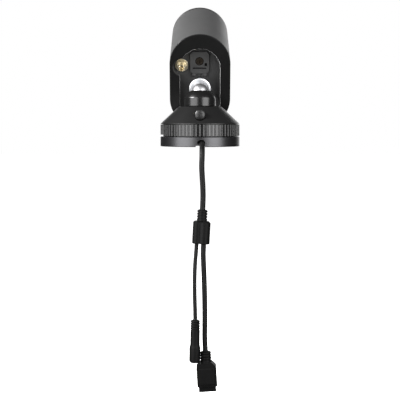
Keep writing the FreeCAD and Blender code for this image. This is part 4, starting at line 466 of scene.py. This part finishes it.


# %% [markdown]
# The recess in the rear cap has a machined edge whose chamfer is painted near-white as a painted highlight,
# and its lining is duller than the face; the faces deeper than its floor are painted near-black as painted
# shade.

# %% Rear cap
rear_face = nearest("rear_cap") / MM
RECESS_DEPTH = 10.0
LINING_START = 1.0
FLOOR_MARGIN = 0.05
GAP_DEPTH = 4.0
ON_FACE = 0.02
ARCH_CENTRE = 16.1
ARCH_REACH = 21.5
lining_end = RECESS_DEPTH + FLOOR_MARGIN
gap_end = RECESS_DEPTH + GAP_DEPTH
HEAD_BACK = HEAD.inverted()


def in_head(point):
    """A point in the head's own axes, in millimetres."""
    return (HEAD_BACK @ point) / MM


def arch_edge(edge):
    """The edge where the recess opens in the cap's rear face."""
    ends = [in_head(vertex.co) for vertex in edge.verts]
    if any(abs(end.y - rear_face) > ON_FACE for end in ends):
        return False
    return all(math.hypot(end.x, max(0.0, end.z - ARCH_CENTRE)) < ARCH_REACH for end in ends)


def between(low, high):
    """A test of a face: its middle lies this far forward of the cap's rear face, in millimetres."""
    return lambda middle: low < middle.y - rear_face < high


def refinish(piece, finish, wanted):
    """Give another finish to the plain faces whose middle passes a test."""
    piece.data.materials.append(FINISHES[finish])
    last = len(piece.data.materials) - 1
    plain_faces = [face for face in piece.data.polygons if not face.material_index]
    chosen = [face for face in plain_faces if wanted(in_head(face.center))]
    for face in chosen:
        face.material_index = last
    print(piece.name, len(chosen), "faces with", finish)


cap = softened("rear_cap", 0.75, bright=arch_edge)
# The bevel faces of the arch edge take near-white paint: a painted highlight.
cap.data.materials.append(FINISHES["painted_highlight_edge"])
refinish(cap, "recess_lining", between(LINING_START, lining_end))
# The faces deeper than the recess floor, around the door, are painted near-black: painted shade.
refinish(cap, "painted_gap_shade", between(lining_end, gap_end))

# The door's slots and the well of its lock are painted near-black: painted shade for the dark space behind
# them.
door = softened("service_door", 0.3)
DOOR_FACE = 8.0
SLOT_START = 0.4
refinish(door, "painted_gap_shade", between(DOOR_FACE + SLOT_START, gap_end))

# The ball is satin from rubbing in its seat; the flange of its stud stays bright.
BALL_END = 9.5
stud = softened("ball_stud", 0.3)
refinish(stud, "satin_chrome", lambda middle: middle.y < BALL_END)

for name, width in (("body_shell", 0.35), ("base_plate", 0.3), ("lock_ring", 0.22), ("mount_cone", 0.35),
                    ("pan_lock", 0.4), ("collar_post", 0.3), ("door_lock", 0.2),
                    ("aerial_socket", 0.2), ("aerial_nut", 0.25), ("aerial_washer", 0.15),
                    ("threaded_insert", 0.3), ("front_bezel", 0.35)):
    softened(name, width)

# %% [markdown]
# The pieces that hang on the cords, the split block and the two sockets, are given rounded copies.

# %% Plugs on the cords


softened("split_block", 0.35)
softened("power_socket", 0.3)
softened("data_socket", 0.5)

# %% [markdown]
# The room: two tall soft boxes stand to the left and right of the camera with a gap between them. A
# key light high on the left throws the recess's left wall into shade, and a low wide panel behind the
# object shines along its sides. The room is plain white to the camera and dim to everything else, and
# the floor glows by itself, so it takes no shadow.

# %% Light


AIM = Vector((0, 0, 0.03))
ROOM_GLOW = 0.10


def soft_box(name, bearing, distance, width, height, level, power):
    """A rectangular light that faces the object; bearing is counted from the camera's side."""
    data = bpy.data.lights.new(name, "AREA")
    data.shape = "RECTANGLE"
    data.size = width
    data.size_y = height
    data.energy = power
    light = bpy.data.objects.new(name, data)
    turn = math.radians(bearing)
    light.location = (distance * math.sin(turn), -distance * math.cos(turn), level)
    light.rotation_euler = (AIM - light.location).to_track_quat("-Z", "Y").to_euler()
    scene.collection.objects.link(light)


soft_box("left_box", -46, 1.25, 1.30, 1.5, 0.30, 30)
soft_box("right_box", 41, 1.25, 1.05, 1.5, 0.30, 28)
soft_box("key_light", -66, 1.2, 0.40, 0.40, 0.80, 42)
soft_box("back_panel", 168, 1.4, 1.4, 0.6, 0.25, 5)

world = bpy.data.worlds.new("studio")
world.use_nodes = True
scene.world = world
tree = world.node_tree
background = tree.nodes["Background"]
seen = tree.nodes.new("ShaderNodeLightPath")
strength = tree.nodes.new("ShaderNodeMapRange")
strength.inputs["To Min"].default_value = ROOM_GLOW
strength.inputs["To Max"].default_value = 1.0
tree.links.new(seen.outputs["Is Camera Ray"], strength.inputs["Value"])
tree.links.new(strength.outputs[0], background.inputs["Strength"])
background.inputs["Color"].default_value = (1, 1, 1, 1)
scene.view_settings.view_transform = "Standard"

# %% Floor
FLOOR_HALF = 8.0
FLOOR_DROP = 0.03
floor_level = min(corner[2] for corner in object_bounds()) - FLOOR_DROP
floor_mesh = bpy.data.meshes.new("floor")
corners = [(x * FLOOR_HALF, y * FLOOR_HALF, floor_level) for x, y in ((-1, -1), (1, -1), (1, 1), (-1, 1))]
floor_mesh.from_pydata(corners, [], [(0, 1, 2, 3)])
floor_finish = Finish("floor_white", Base_Color=(0.8, 0.8, 0.8, 1), Roughness=0.9, Emission_Strength=1.0,
                      Emission_Color=(1, 1, 1, 1))
floor_mesh.materials.append(floor_finish.material)
floor = bpy.data.objects.new("floor", floor_mesh)
floor.visible_diffuse = False
floor.visible_glossy = False
scene.collection.objects.link(floor)
floor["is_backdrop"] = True
print("floor at", round(floor_level, 3))
